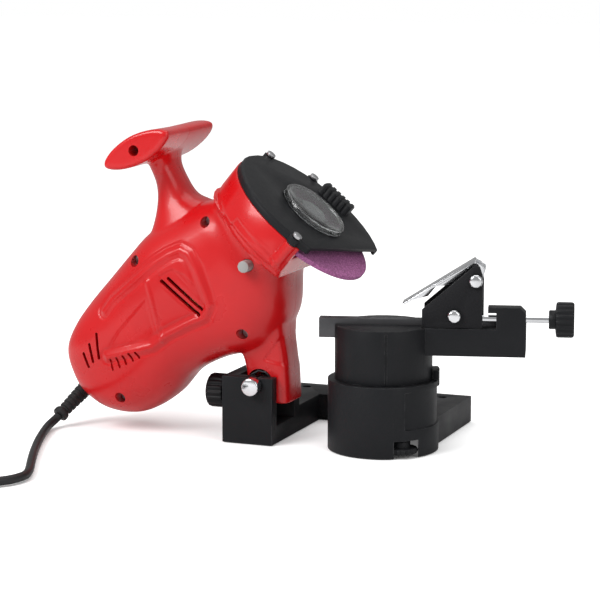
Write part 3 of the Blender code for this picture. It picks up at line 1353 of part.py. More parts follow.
def stop_bracket():
    """Two side plates tied by a web, over the links, with the tab that the stop screw moves."""
    face, sheet = BRACKET_FACE, BRACKET_SHEET
    body = side_plate("stop_bracket", bracket_outline(), -face, -face + sheet, VISE)
    web_start = BRACKET_RIGHT - sheet
    join(
        body,
        side_plate("back_plate", bracket_outline(), face - sheet, face, VISE),
        box("web", (web_start, -face + GAP, BRACKET_WEB_BOTTOM),
            (BRACKET_RIGHT - GAP, face - GAP, BRACKET_WEB_TOP), VISE),
        box("tab", (web_start, -face + GAP, ARM_TOP + 2 * GAP),
            (BRACKET_RIGHT - GAP, -BRACKET_TAB_BACK, BRACKET_WEB_TOP - GAP), VISE),
    )
    reach = 2 * face
    hole = BRACKET_BOLT_RADIUS + GAP
    pivot = vise_y_frame(PAWL_PIVOT_X, PAWL_PIVOT_HEIGHT)
    lower = vise_y_frame(LOWER_BOLT_X, LOWER_BOLT_HEIGHT)
    cut(
        body,
        disc("pivot_hole", hole, -reach, reach, pivot, SMALL_STEPS),
        disc("bolt_hole", hole, -reach, 0, lower, SMALL_STEPS),
        disc("screw_hole", STOP_SCREW_RADIUS + GAP, 0, STOP_KNOB_START, stop_frame(), SMALL_STEPS),
    )
    paint(body, "textured_black")
    head = [
        (BRACKET_BOLT_HEAD * 0.75, -face - GAP - BRACKET_BOLT_HEAD_LENGTH),
        (BRACKET_BOLT_HEAD, -face - GAP - BRACKET_BOLT_HEAD_LENGTH * 0.6),
        (BRACKET_BOLT_HEAD, -face - GAP),
        (BRACKET_BOLT_RADIUS, -face - GAP / 2),
    ]
    for name, x, z, end in (
        ("pawl_bolt", PAWL_PIVOT_X, PAWL_PIVOT_HEIGHT, face + OVERRUN),
        ("bracket_bolt", LOWER_BOLT_X, LOWER_BOLT_HEIGHT, -face + sheet + OVERRUN),
    ):
        stations = head + [(BRACKET_BOLT_RADIUS, end)]
        paint(turned(name, stations, vise_y_frame(x, z), SMALL_STEPS), "chrome")


def stop_pawl():
    """A bright plate along the bracket's slope, with two ears on its pivot and a rib under its nose."""
    frame = VISE @ Matrix.Translation((PAWL_PIVOT_X, 0, PAWL_PIVOT_HEIGHT))
    heel = Vector((PAWL_HEEL_X - PAWL_PIVOT_X, PAWL_HEEL_HEIGHT - PAWL_PIVOT_HEIGHT))
    tip = Vector((PAWL_TIP_X - PAWL_PIVOT_X, PAWL_TIP_HEIGHT - PAWL_PIVOT_HEIGHT))
    way = (heel - tip).normalized()
    under = Vector((way.y, -way.x)) * PAWL_THICKNESS
    wide = PAWL_HALF_WIDTH
    plate_line = [tip, heel, heel + under, tip + under * 0.5 + way * PAWL_THICKNESS]
    body = side_plate("stop_pawl", [tuple(p) for p in plate_line], -wide, wide, frame)
    down = Vector((way.y, -way.x))
    ear = [
        heel + under * 0.5, heel + down * PAWL_EAR_DEPTH * 1.4 + way * PAWL_EAR_DEPTH * 0.6,
        down * PAWL_EAR_DEPTH * 0.9, -way * PAWL_EAR_DEPTH, tip.lerp(heel, 0.45) + under * 0.5,
    ]
    for low in (-wide, wide - PAWL_EAR_THICKNESS):
        high = low + PAWL_EAR_THICKNESS - GAP
        join(body, side_plate("ear", [tuple(p) for p in ear], low + GAP, high, frame))
    rib = [
        tip.lerp(heel, 0.06) + under * 0.5, tip.lerp(heel, PAWL_RIB_START + 0.2) + under * 0.5,
        tip.lerp(heel, PAWL_RIB_START) + down * PAWL_RIB_DEPTH,
    ]
    join(body, side_plate("rib", [tuple(p) for p in rib], -PAWL_EAR_THICKNESS, PAWL_EAR_THICKNESS, frame))
    hole = vise_y_frame(PAWL_PIVOT_X, PAWL_PIVOT_HEIGHT)
    cut(body, disc("pivot_hole", BRACKET_BOLT_RADIUS + GAP, -2 * wide, 2 * wide, hole, SMALL_STEPS))
    paint(body, "chrome")


def stop_screw():
    frame = stop_frame()
    end = STOP_KNOB_START + KNOB_HUB_LENGTH + KNOB_LENGTH / 2 - GAP
    paint(disc("stop_screw", STOP_SCREW_RADIUS, STOP_SCREW_START, end, frame, SMALL_STEPS), "chrome")
    start = frame @ Matrix.Translation((0, 0, STOP_KNOB_START))
    paint(knob("stop_knob", start, bore=STOP_SCREW_RADIUS), "black_plastic")


def smooth_line(route, spacing):
    """Points at even spacing on one smooth curve through the route's points."""
    knots = [Vector(point) for point in route]
    ends = [2 * knots[0] - knots[1]] + knots + [2 * knots[-1] - knots[-2]]
    fine = []
    for a, b, c, d in zip(ends, ends[1:], ends[2:], ends[3:]):
        for k in range(CURVE_STEPS):
            t = k / CURVE_STEPS
            square = (2 * a - 5 * b + 4 * c - d) * t**2
            cube = (3 * b - a - 3 * c + d) * t**3
            fine.append((2 * b + (c - a) * t + square + cube) / 2)
    fine.append(knots[-1])
    total = sum((q - p).length for p, q in zip(fine, fine[1:]))
    count = max(2, round(total / spacing))
    points = [fine[0]]
    walked = 0.0
    wanted = total / count
    for p, q in zip(fine, fine[1:]):
        step = (q - p).length
        while walked + step >= wanted * len(points) and len(points) < count:
            points.append(p.lerp(q, (wanted * len(points) - walked) / step))
        walked += step
    points.append(fine[-1])
    return points


def relief_tip():
    return relief_frame() @ Vector((0, 0, RELIEF_LENGTH + GAP))


def coil_points():
    """The coil's centre line: in on the floor, up where it turns round, and out on top."""
    lift = CORD_RADIUS + CORD_LIFT
    span = COIL_TURNS_PER_LAYER * COIL_PITCH
    outer = COIL_MIDDLE_RADIUS + span / 2
    total = round(2 * COIL_TURNS_PER_LAYER)
    points = []
    for k in range(total * COIL_POINTS + 1):
        turn = k / COIL_POINTS
        middle = COIL_TURNS_PER_LAYER
        radius = outer - span + abs(turn - middle) * COIL_PITCH
        climb = min(1, max(0, (turn - middle) / COIL_CLIMB_TURNS + 1 / 2))
        height = lift + COIL_PITCH * (3 * climb**2 - 2 * climb**3)
        a = math.radians(COIL_ENTRY_ANGLE) + 2 * math.pi * turn
        points.append(Vector((
            COIL_CENTRE[0] + radius * math.cos(a), COIL_CENTRE[1] + radius * math.sin(a), height
        )))
    return points


def least_self_gap(points, radius):
    """The smallest clear distance between stretches of a tube that are not neighbours along it."""
    least = math.inf
    skip = COIL_POINTS // 3
    for i, p in enumerate(points):
        for q in points[i + skip:]:
            least = min(least, (q - p).length)
    return least - 2 * radius


def cord():
    """The lead: out of the strain relief, along the floor, wound into a coil, and on to its plug."""
    lift = CORD_RADIUS + CORD_LIFT
    tip = relief_tip()
    way = Vector(RELIEF_DIRECTION).normalized()
    coil = coil_points()
    route = [
        tip,
        (-0.2378, -0.0281, 0.0057),
        (-0.2384, -0.0332, 0.0041),
        (-0.2372, -0.0405, 0.0034),
        (-0.2342, -0.0500, lift),
        (-0.2299, -0.0625, lift),
        (-0.2210, -0.0860, lift),
        (-0.2085, -0.1158, lift),
        (-0.1975, -0.1400, lift),
        (-0.1872, -0.1625, lift),
        (-0.1836, -0.1761, lift),
        (-0.1872, -0.1896, lift),
        (-0.1971, -0.1995, lift),
        (-0.2106, -0.2031, lift),
        (-0.2240, -0.2031, lift),
        (COIL_CENTRE[0] + CORD_RADIUS / 2, -0.2031, lift),
    ]
    lead = smooth_line(route, CORD_POINT_SPACING)
    lead[0] = tip + way * GAP / 2
    lead.insert(1, tip + way * CORD_RADIUS / 2)
    paint(swept_tube("cord_lead", lead, CORD_RADIUS, 2), "rubber")
    out_way = (coil[-1] - coil[-2]).normalized()
    wound = coil + [coil[-1] + out_way * TAIL_LENGTH * share for share in TAIL_SHARES]
    paint(swept_tube("cord_coil", wound, CORD_RADIUS, 1), "rubber")
    print("cord coil: least gap to itself", round(least_self_gap(wound, CORD_RADIUS), 5), "m")
    plug_parts(axis_frame(wound[-1] + out_way * GAP, out_way))
    tie()
    length = sum((q - p).length for line in (lead, wound) for p, q in zip(line, line[1:]))
    print("cord length", round(length, 4), "m")


def plug_parts(frame):
    """A two-blade plug that lies flat, its cord along the frame's Z."""
    level = Matrix.Translation(frame.translation) @ Matrix.Rotation(
        math.atan2(*reversed((frame.to_3x3() @ Vector((0, 0, 1))).xy)), 4, "Z"
    )
    wide, thick = PLUG_WIDTH / 2, PLUG_THICKNESS / 2
    low = min(thick, frame.translation.z)
    rings = []
    for place, size in PLUG_STATION_SHARES:
        centre = Vector((place * PLUG_LENGTH, 0, 0))
        across, up = Vector((0, wide * size, 0)), Vector((0, 0, low * size))
        rings.append(oval(centre, across, up, PLUG_EXPONENT, PLUG_STEPS))
    paint(skin("plug_body", rings, level), "rubber")
    start = PLUG_LENGTH + GAP
    blades = box("plug_blades", (start, -wide * BLADE_PLATE_SHARE, -low * BLADE_PLATE_SHARE),
                 (start + BLADE_PLATE, wide * BLADE_PLATE_SHARE, low * BLADE_PLATE_SHARE), level)
    for side in (-1, 1):
        y = side * BLADE_SPACING / 2
        end = start + BLADE_PLATE + BLADE_LENGTH
        join(blades, box("blade", (start + BLADE_PLATE / 2, y - BLADE_THICKNESS / 2, -BLADE_WIDTH / 2),
                         (end, y + BLADE_THICKNESS / 2, BLADE_WIDTH / 2), level))
    paint(blades, "brass")


def tie():
    """A strap round one side of the coil."""
    span = COIL_TURNS_PER_LAYER * COIL_PITCH
    inner = COIL_MIDDLE_RADIUS - span / 2 - COIL_PITCH / 2 - GAP
    outer = COIL_MIDDLE_RADIUS + span / 2 + COIL_PITCH / 2 + GAP
    high = 2 * CORD_RADIUS + CORD_LIFT + COIL_PITCH + GAP
    frame = Matrix.Translation((*COIL_CENTRE, 0)) @ Matrix.Rotation(math.radians(TIE_ANGLE), 4, "Z")
    half = TIE_WIDTH / 2
    near, far = inner - TIE_THICKNESS, outer + TIE_THICKNESS
    band = box("cord_tie", (near, -half, 0), (far, half, high + TIE_THICKNESS), frame)
    cut(band, box("inside", (inner, -half - OVERRUN, -OVERRUN), (outer, half + OVERRUN, high), frame))
    paint(band, "rubber")


def stand_on_floor():
    """Moves the whole so that the box of the tool without its cord is centred over the origin."""
    loose = ("cord_lead", "cord_coil", "cord_tie", "plug_body", "plug_blades")
    graph = bpy.context.evaluated_depsgraph_get()
    low, high = Vector((math.inf,) * 3), Vector((-math.inf,) * 3)
    for obj in bpy.context.scene.objects:
        if obj.name in loose:
            continue
        mesh = obj.evaluated_get(graph).to_mesh()
        for vertex in mesh.vertices:
            point = obj.matrix_world @ vertex.co
            low = Vector(map(min, low, point))
            high = Vector(map(max, high, point))
    shift = Vector((-(low.x + high.x) / 2, -(low.y + high.y) / 2, -low.z))
    for obj in bpy.context.scene.objects:
        obj.location += shift
    print("moved by", [round(value, 6) for value in shift], "box", [round(v, 5) for v in low],
          [round(v, 5) for v in high])


def main():
    clear_scene()
    base_casting()
    hinge_parts()
    depth_stop()
    turntable_lock()
    vise_body()
    guide_rails()
    clamp()
    stop_bracket()
    stop_pawl()
    stop_screw()
    head_shells()
    shell_screws()
    guard()
    spindle_group()
    gear_case()
    armature()
    stator()
    lock_button()
    power_switch()
    strain_relief()
    cord()
    bpy.context.view_layer.update()
    stand_on_floor()


main()
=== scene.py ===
"""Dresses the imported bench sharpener: moulded housing, castings, wheel, cord and their finishes."""

import json
import math
from functools import cache

import bmesh
import bpy
import numpy as np
from bpy.props import FloatProperty, FloatVectorProperty, IntProperty, PointerProperty
from mathutils import Matrix, Vector

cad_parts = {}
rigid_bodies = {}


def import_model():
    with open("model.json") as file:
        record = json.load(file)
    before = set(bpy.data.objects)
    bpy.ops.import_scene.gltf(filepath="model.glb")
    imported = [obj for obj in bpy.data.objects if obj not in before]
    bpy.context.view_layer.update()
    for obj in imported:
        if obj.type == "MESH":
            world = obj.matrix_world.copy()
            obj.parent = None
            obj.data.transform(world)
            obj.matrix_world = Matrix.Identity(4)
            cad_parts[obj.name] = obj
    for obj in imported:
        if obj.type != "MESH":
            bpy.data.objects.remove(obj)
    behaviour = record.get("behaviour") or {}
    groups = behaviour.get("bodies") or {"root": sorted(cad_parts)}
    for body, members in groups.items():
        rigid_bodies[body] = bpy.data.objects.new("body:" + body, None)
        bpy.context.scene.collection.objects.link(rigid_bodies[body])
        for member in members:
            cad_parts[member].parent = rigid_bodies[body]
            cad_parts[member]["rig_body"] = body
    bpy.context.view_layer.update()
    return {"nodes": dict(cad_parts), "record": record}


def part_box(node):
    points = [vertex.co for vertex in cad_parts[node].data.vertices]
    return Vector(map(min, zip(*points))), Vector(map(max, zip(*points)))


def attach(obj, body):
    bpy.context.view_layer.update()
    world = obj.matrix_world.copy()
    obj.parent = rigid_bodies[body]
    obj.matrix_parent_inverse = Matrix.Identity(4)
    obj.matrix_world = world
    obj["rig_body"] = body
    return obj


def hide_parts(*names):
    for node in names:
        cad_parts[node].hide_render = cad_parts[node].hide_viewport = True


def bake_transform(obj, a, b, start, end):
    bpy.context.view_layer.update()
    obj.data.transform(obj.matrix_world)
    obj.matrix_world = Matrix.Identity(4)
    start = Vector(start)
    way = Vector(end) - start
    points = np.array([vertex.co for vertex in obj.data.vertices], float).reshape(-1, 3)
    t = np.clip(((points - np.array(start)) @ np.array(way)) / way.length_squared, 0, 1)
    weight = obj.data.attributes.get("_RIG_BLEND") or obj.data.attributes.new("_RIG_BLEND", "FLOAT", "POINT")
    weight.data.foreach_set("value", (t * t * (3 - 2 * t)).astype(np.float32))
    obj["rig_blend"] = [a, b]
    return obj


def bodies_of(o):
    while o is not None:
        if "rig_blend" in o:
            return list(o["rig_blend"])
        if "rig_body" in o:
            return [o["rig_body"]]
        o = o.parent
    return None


bl_info = {
    "name": "Bench sharpener dressing",
    "version": (1, 0, 0),
    "blender": (4, 5, 0),
    "location": "3D View > Sidebar > Sharpener",
    "description": "Builds the finished surface of a bench sharpener around its packed parts",
    "category": "Object",
}

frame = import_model()
SLOT_OF = {part["node"]: part["material_slot"] for part in frame["record"]["subparts"]}

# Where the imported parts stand
PIVOT_LOW, PIVOT_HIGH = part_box("pivot_bolt")
TURNTABLE = Vector(((PIVOT_LOW.x + PIVOT_HIGH.x) / 2, (PIVOT_LOW.y + PIVOT_HIGH.y) / 2, 0))
HINGE = TURNTABLE + Vector((-0.085, 0, 0.0415))
RIM_REACH = 0.100
WHEEL_CENTRE = HINGE + RIM_REACH * Vector((0.256, 0, 1.097))
SPINDLE = Matrix.Translation(WHEEL_CENTRE) @ Matrix.Rotation(math.radians(40), 4, "Y")
HEAD = Matrix.Translation(HINGE)
WALL = 0.0027
CAVITY_INSET = 0.0038

OUTSIDE = 0.06
WHITE = (1, 1, 1, 1)
COLLAR_CUT_REACH = 0.08
LUG_REACH = 0.0596
BUTTON_PLACE = (-0.0042, 0, -0.0364)
SWITCH_PLACE = (-0.99, 0.36)
WHEEL_HALF = 0.0016
VISE_TURN = math.radians(15)

# The housing's ribs: upper point, lower point and half width, as shares of the rim's reach from the hinge
BARREL_RIBS = (
    (-1.45, 0.10, -1.39, -0.10, 0.15),
    (-1.48, 0.20, -1.31, -0.20, 0.25),
    (-1.41, 0.35, -1.14, -0.29, 0.32),
    (-1.29, 0.51, -0.91, -0.29, 0.355),
    (-1.14, 0.68, -0.70, -0.165, 0.375),
    (-0.99, 0.85, -0.53, 0.02, 0.385),
    (-0.85, 1.00, -0.29, 0.145, 0.385),
    (-0.66, 1.12, 0.02, 0.245, 0.38),
    (-0.48, 1.215, 0.19, 0.465, 0.37),
    (-0.34, 1.265, 0.215, 0.765, 0.36),
    (-0.32, 1.35, 0.285, 0.845, 0.47),
)
NECK_RIBS = (
    (-0.93, 0.82, -0.34, 1.13, 0.26),
    (-0.845, 1.03, -0.42, 1.22, 0.21),
    (-0.81, 1.20, -0.55, 1.275, 0.165),
    (-0.815, 1.33, -0.63, 1.385, 0.145),
    (-0.86, 1.45, -0.68, 1.49, 0.155),
    (-0.91, 1.56, -0.68, 1.575, 0.20),
)
LEG_RIBS = (
    (-0.36, 0.55, 0.17, 0.60, 0.25),
    (-0.24, 0.33, 0.165, 0.36, 0.185),
    (-0.155, 0.19, 0.185, 0.20, 0.162),
    (-0.12, 0.07, 0.20, 0.08, 0.16),
    (-0.108, -0.02, 0.205, -0.02, 0.16),
    (-0.09, -0.14, 0.21, -0.14, 0.16),
)
GRIP_CENTRE = (-0.82, 1.605)
GRIP_STATIONS = ((-1.0, 0.90), (-0.955, 1.0), (-0.5, 0.97), (0.0, 0.95), (0.5, 0.97), (0.955, 1.0), (1.0, 0.90))
GRIP_SIZE = (0.080, 0.0275, 0.0102)
GRIP_TILT = 27
COLLAR = {"radius": 0.060, "front": -0.0043, "back": -0.0150, "cut": 0.0205, "shoulder": 0.008}
RIM_INNER = 0.0575
RIM_FRONT = 0.0055
LUG_RADIUS = 0.0043
SCREW_PLACES = ((-0.83, 1.60), (-0.34, 1.12), (-0.88, 0.82), (-0.07, 0.36), (-1.00, -0.155))
LUG_ANGLES = (116, -76, 155)

# Lines and patches that are moulded into the housing, as shares of the rim's reach from the hinge
ARCH_LINE = (
    (-1.10, 0.46), (-1.038, 0.544), (-0.876, 0.679), (-0.708, 0.82), (-0.60, 0.89), (-0.512, 0.925),
    (-0.446, 0.90), (-0.38, 0.804), (-0.307, 0.63), (-0.285, 0.556), (-0.323, 0.47), (-0.458, 0.407),
    (-0.608, 0.327), (-0.715, 0.243), (-0.867, 0.198), (-1.067, 0.142),
)
CREASE_LINE = ((-0.755, 0.70), (-0.711, 0.564), (-0.665, 0.386), (-0.636, 0.284))
COLLAR_RIDGE = ((-0.157, 1.149), (-0.085, 1.07), (-0.012, 1.0), (0.07, 0.94), (0.147, 0.887))
LEAF_PATCH = (
    (-0.665, 0.745), (-0.559, 0.797), (-0.477, 0.767), (-0.390, 0.689), (-0.305, 0.546), (-0.365, 0.472),
    (-0.516, 0.573), (-0.644, 0.683),
)
LOW_PANEL = ((-1.081, 0.19), (-0.987, 0.337), (-0.756, 0.589), (-0.676, 0.316), (-0.867, 0.233))
NAME_PANEL = ((-0.004, 1.203), (0.334, 0.897), (0.262, 0.826), (-0.077, 1.132))
LEG_PATCH = ((0.014, 0.156), (0.200, 0.404), (0.20, 0.12))
LONG_VENTS = ((-0.590, 0.725, -0.340, 0.525), (-0.640, 0.705, -0.360, 0.485))
REAR_VENTS = ((-1.16, 0.295, -1.14, 0.125), (-1.22, 0.215, -1.19, 0.095), (-1.27, 0.145, -1.23, 0.055))
LOW_VENTS = (
    (-1.044, 0.122, -1.028, 0.053), (-0.995, 0.137, -0.972, 0.078), (-0.944, 0.157, -0.92, 0.103),
    (-0.895, 0.178, -0.868, 0.132), (-0.844, 0.19, -0.819, 0.155),
)

# Strain relief and cord
CORD_RADIUS = 0.0030
CORD_HEIGHT = 0.0033
CORD_LIES_FROM = 8
CORD_STEP = 0.004
CORD_END = 0.020
RELIEF_PLACE = (-1.384, -0.134)
RELIEF_WAY = Vector((-0.370, -0.725, -0.580)).normalized()
RELIEF_LENGTH = 0.0346
COIL_CENTRE = Vector((-0.240, -0.24915, 0))
COIL_RADIUS = 0.0345
COIL_PITCH = 0.0066
COIL_TURNS = 3.5
COIL_STEPS = 48
CORD_ROUTE = (
    (-0.2378, -0.0281, 0.0057), (-0.2384, -0.0332, 0.0041), (-0.2372, -0.0405, 0.0034),
    (-0.2342, -0.0500, 0.0033), (-0.2299, -0.0625, 0.0033), (-0.2210, -0.0860, 0.0033),
    (-0.2085, -0.1158, 0.0033), (-0.1975, -0.1400, 0.0033), (-0.1872, -0.1625, 0.0033),
    (-0.1836, -0.1761, 0.0033), (-0.1872, -0.1896, 0.0033), (-0.1971, -0.1995, 0.0033),
    (-0.2106, -0.2031, 0.0033), (-0.2240, -0.2031, 0.0033),
)


class FinishColours(bpy.types.PropertyGroup):
    """Colours of the finishes that a user may want to change."""

    housing: FloatVectorProperty(name="Housing", description="Colour of the moulded housing", subtype="COLOR",
                                 size=3, min=0, max=1, default=(0.53, 0.005, 0.007))
    casting: FloatVectorProperty(name="Casting", description="Colour of the painted base and vise", subtype="COLOR",
                                 size=3, min=0, max=1, default=(0.0085, 0.009, 0.0105))
    wheel: FloatVectorProperty(name="Wheel", description="Colour of the abrasive", subtype="COLOR",
                               size=3, min=0, max=1, default=(0.35, 0.105, 0.265))
    cable: FloatVectorProperty(name="Cable", description="Colour of the cord and its plug", subtype="COLOR",
                               size=3, min=0, max=1, default=(0.012, 0.012, 0.013))


class MouldSizes(bpy.types.PropertyGroup):
    """Sizes of the fine surface."""

    voxel: FloatProperty(name="Housing mesh size", description="Edge length of the housing's mesh", unit="LENGTH",
                         min=0.0006, max=0.004, default=0.0009)
    softening: IntProperty(name="Housing softening", description="Rounds of smoothing over the housing's joints",
                           min=0, max=60, default=14)
    ridge: FloatProperty(name="Ridge height", description="Height of the ridges moulded into the housing",
                         unit="LENGTH", min=0, max=0.003, default=0.0011)
    recess: FloatProperty(name="Panel recess", description="Depth of the housing's sunk panels", unit="LENGTH",
                          min=0, max=0.003, default=0.0009)
    edge: FloatProperty(name="Cast edge", description="Width of the rounding on cast and machined edges",
                        unit="LENGTH", min=0, max=0.002, default=0.0007)


class StageLight(bpy.types.PropertyGroup):
    """Light of the stage."""

    key: FloatProperty(name="Key light", description="Power of the large front light", unit="POWER", min=0,
                       default=24)
    fill: FloatProperty(name="Fill light", description="Power of the fill light", unit="POWER", min=0, default=7)
    sky: FloatProperty(name="Sky", description="Strength of the light from all round", min=0, default=0.38)


def body_of(node):
    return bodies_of(frame["nodes"][node])[0]


def add_object(name, mesh):
    obj = bpy.data.objects.new(name, mesh)
    bpy.context.scene.collection.objects.link(obj)
    return obj


def baked(obj):
    """Applies the modifiers of an object to its mesh."""
    bpy.context.view_layer.update()
    found = obj.evaluated_get(bpy.context.evaluated_depsgraph_get())
    mesh = bpy.data.meshes.new_from_object(found)
    obj.modifiers.clear()
    obj.data = mesh
    return obj


def carved(target, tool, operation="DIFFERENCE"):
    step = target.modifiers.new(operation.lower(), "BOOLEAN")
    step.operation = operation
    step.solver = "MANIFOLD"
    step.object = tool
    baked(target)
    bpy.data.objects.remove(tool, do_unlink=True)
    return target


def between_rings(name, rings, place=Matrix.Identity(4), closed=False):
    """A body over rings of points of one count, with flat ends, or closed round on itself."""
    shape = bmesh.new()
    rows = [[shape.verts.new(place @ Vector(point)) for point in ring] for ring in rings]
    count = len(rows[0])
    pairs = list(zip(rows, rows[1:])) + ([(rows[-1], rows[0])] if closed else [])
    for low, high in pairs:
        for k in range(count):
            after = (k + 1) % count
            shape.faces.new((low[k], low[after], high[after], high[k]))
    if not closed:
        shape.faces.new(rows[0])
        shape.faces.new(rows[-1])
    bmesh.ops.recalc_face_normals(shape, faces=shape.faces)
    mesh = bpy.data.meshes.new(name)
    shape.to_mesh(mesh)
    shape.free()
    return add_object(name, mesh)


def turned(name, profile, place, steps=96, closed=False):
    """A body of revolution about the place's Z, from (radius, height) stations."""
    rings = []
    for radius, height in profile:
        ring = []
        for k in range(steps):
            a = 2 * math.pi * k / steps
            ring.append((radius * math.cos(a), radius * math.sin(a), height))
        rings.append(ring)
    return between_rings(name, rings, place, closed)


def block(name, low, high, place=Matrix.Identity(4)):
    (x0, y0, z0), (x1, y1, z1) = low, high
    rings = [[(x0, y0, z), (x1, y0, z), (x1, y1, z), (x0, y1, z)] for z in (z0, z1)]
    return between_rings(name, rings, place)


def oval(centre, along, across, exponent, steps):
    points = []
    for k in range(steps):
        a = 2 * math.pi * k / steps
        c, s = math.cos(a), math.sin(a)
        points.append(centre + along * math.copysign(abs(c) ** (2 / exponent), c)
                      + across * math.copysign(abs(s) ** (2 / exponent), s))
    return points


def eased_rows(rows, parts):
    """Rows of numbers on one smooth curve through the given rows."""
    rows = [np.array(row, float) for row in rows]
    ends = [2 * rows[0] - rows[1]] + rows + [2 * rows[-1] - rows[-2]]
    fine = []
    for a, b, c, d in zip(ends, ends[1:], ends[2:], ends[3:]):
        for k in range(parts):
            t = k / parts
            fine.append(0.5 * (2 * b + (c - a) * t + (2 * a - 5 * b + 4 * c - d) * t * t
                               + (3 * b - a - 3 * c + d) * t * t * t))
    fine.append(rows[-1])
    return fine


def head_point(shares, y=0.0):
    return HINGE + RIM_REACH * Vector((shares[0], 0, shares[1])) + Vector((0, y, 0))


def axis_place(place, way):
    """A place whose Z runs along a way."""
    return Matrix.Translation(place) @ Vector(way).to_track_quat("Z", "Y").to_matrix().to_4x4()


# Shader node groups that several finishes share


def new_group(name, inputs, outputs):
    """A shader node group with named sockets: (name, socket type, default)."""
    tree = bpy.data.node_groups.new(name, "ShaderNodeTree")
    for label, kind, value in inputs:
        socket = tree.interface.new_socket(label, in_out="INPUT", socket_type=kind)
        socket.default_value = value
    for label, kind in outputs:
        tree.interface.new_socket(label, in_out="OUTPUT", socket_type=kind)
    start = tree.nodes.new("NodeGroupInput")
    end = tree.nodes.new("NodeGroupOutput")
    return tree, start, end


def add_node(tree, kind, links=(), **values):
    """A node whose properties and sockets are set by name, linked from (socket name, source) pairs."""
    node = tree.nodes.new(kind)
    for label, value in values.items():
        if hasattr(node, label):
            setattr(node, label, value)
        else:
            node.inputs[label.replace("_", " ")].default_value = value
    for target, source in links:
        tree.links.new(source, node.inputs[target])
    return node


def surface_place(tree):
    """Where a point of the surface lies in the piece's own axes."""
    return tree.nodes.new("ShaderNodeTexCoord").outputs["Object"]


def noise(tree, place, scale, detail=4.0, rough=0.55):
    return add_node(tree, "ShaderNodeTexNoise", [("Vector", place)], Scale=scale, Detail=detail, Roughness=rough)


def mapped(tree, value, low, high, to_low, to_high):
    return add_node(tree, "ShaderNodeMapRange", [("Value", value)], From_Min=low, From_Max=high, To_Min=to_low,
                    To_Max=to_high).outputs["Result"]


def product(tree, first, second):
    node = add_node(tree, "ShaderNodeMath", operation="MULTIPLY")
    tree.links.new(first, node.inputs[0])
    tree.links.new(second, node.inputs[1])
    return node.outputs[0]


def blended_colour(tree, share, first, second):
    """Two colours mixed by a share; each is a socket or a fixed colour."""
    node = add_node(tree, "ShaderNodeMix", [("Factor", share)], data_type="RGBA")
    for socket, colour in ((node.inputs[6], first), (node.inputs[7], second)):
        if isinstance(colour, tuple):
            socket.default_value = (*colour, 1)
        else:
            tree.links.new(colour, socket)
    return node.outputs[2]


def add_relief(tree, surface, height, strength, distance):
    node = add_node(tree, "ShaderNodeBump", [("Height", height)], Strength=strength, Distance=distance)
    tree.links.new(node.outputs["Normal"], surface.inputs["Normal"])


def mixed_for_camera(tree, unseen, seen, end):
    """One shader for the camera's own rays and another for the rest."""
    ray = tree.nodes.new("ShaderNodeLightPath")
    mix = tree.nodes.new("ShaderNodeMixShader")
    for socket, source in zip(mix.inputs, (ray.outputs["Is Camera Ray"], unseen, seen)):
        tree.links.new(source, socket)
    tree.links.new(mix.outputs[0], end.inputs["Surface"])


def new_material(name):
    material = bpy.data.materials.new(name)
    material.use_nodes = True
    return material, material.node_tree, material.node_tree.nodes["Principled BSDF"]


@cache
def grain_group():
    """Fine grain: a height for bump and a roughness that both change over the surface."""
    tree, start, end = new_group(
        "Fine grain",
        [("Scale", "NodeSocketFloat", 900.0), ("Roughness", "NodeSocketFloat", 0.4),
         ("Spread", "NodeSocketFloat", 0.08)],
        [("Height", "NodeSocketFloat"), ("Roughness", "NodeSocketFloat")],
    )
    place = surface_place(tree)
    fine = add_node(tree, "ShaderNodeTexNoise", [("Vector", place), ("Scale", start.outputs["Scale"])])
    fine.inputs["Detail"].default_value = 3.0
    broad = noise(tree, place, 22.0, 5.0)
    centred = mapped(tree, broad.outputs["Fac"], 0.3, 0.7, -1.0, 1.0)
    total = add_node(tree, "ShaderNodeMath", operation="ADD")
    tree.links.new(product(tree, centred, start.outputs["Spread"]), total.inputs[0])
    tree.links.new(start.outputs["Roughness"], total.inputs[1])
    tree.links.new(fine.outputs["Fac"], end.inputs["Height"])
    tree.links.new(total.outputs[0], end.inputs["Roughness"])
    return tree


@cache
def worn_edge_group():
    """Edge wear: mixes a worn colour in where the surface turns over an edge."""
    tree, start, end = new_group(
        "Edge wear",
        [("Colour", "NodeSocketColor", (0.02, 0.02, 0.02, 1)), ("Worn", "NodeSocketColor", (0.3, 0.3, 0.3, 1)),
         ("Amount", "NodeSocketFloat", 0.3), ("Reach", "NodeSocketFloat", 0.0012)],
        [("Colour", "NodeSocketColor"), ("Mask", "NodeSocketFloat")],
    )
    place = surface_place(tree)
    rounded = add_node(tree, "ShaderNodeBevel", [("Radius", start.outputs["Reach"])])
    facing = tree.nodes.new("ShaderNodeNewGeometry")
    turn = add_node(tree, "ShaderNodeVectorMath", operation="DOT_PRODUCT")
    tree.links.new(rounded.outputs[0], turn.inputs[0])
    tree.links.new(facing.outputs["Normal"], turn.inputs[1])
    edge = mapped(tree, turn.outputs["Value"], 0.995, 0.86, 0.0, 1.0)
    patchy = noise(tree, place, 130.0, 6.0, 0.7)
    broken = mapped(tree, patchy.outputs["Fac"], 0.42, 0.66, 0.0, 1.0)
    mask = product(tree, product(tree, edge, broken), start.outputs["Amount"])
    worn = blended_colour(tree, mask, start.outputs["Colour"], start.outputs["Worn"])
    tree.links.new(worn, end.inputs["Colour"])
    tree.links.new(mask, end.inputs["Mask"])
    return tree


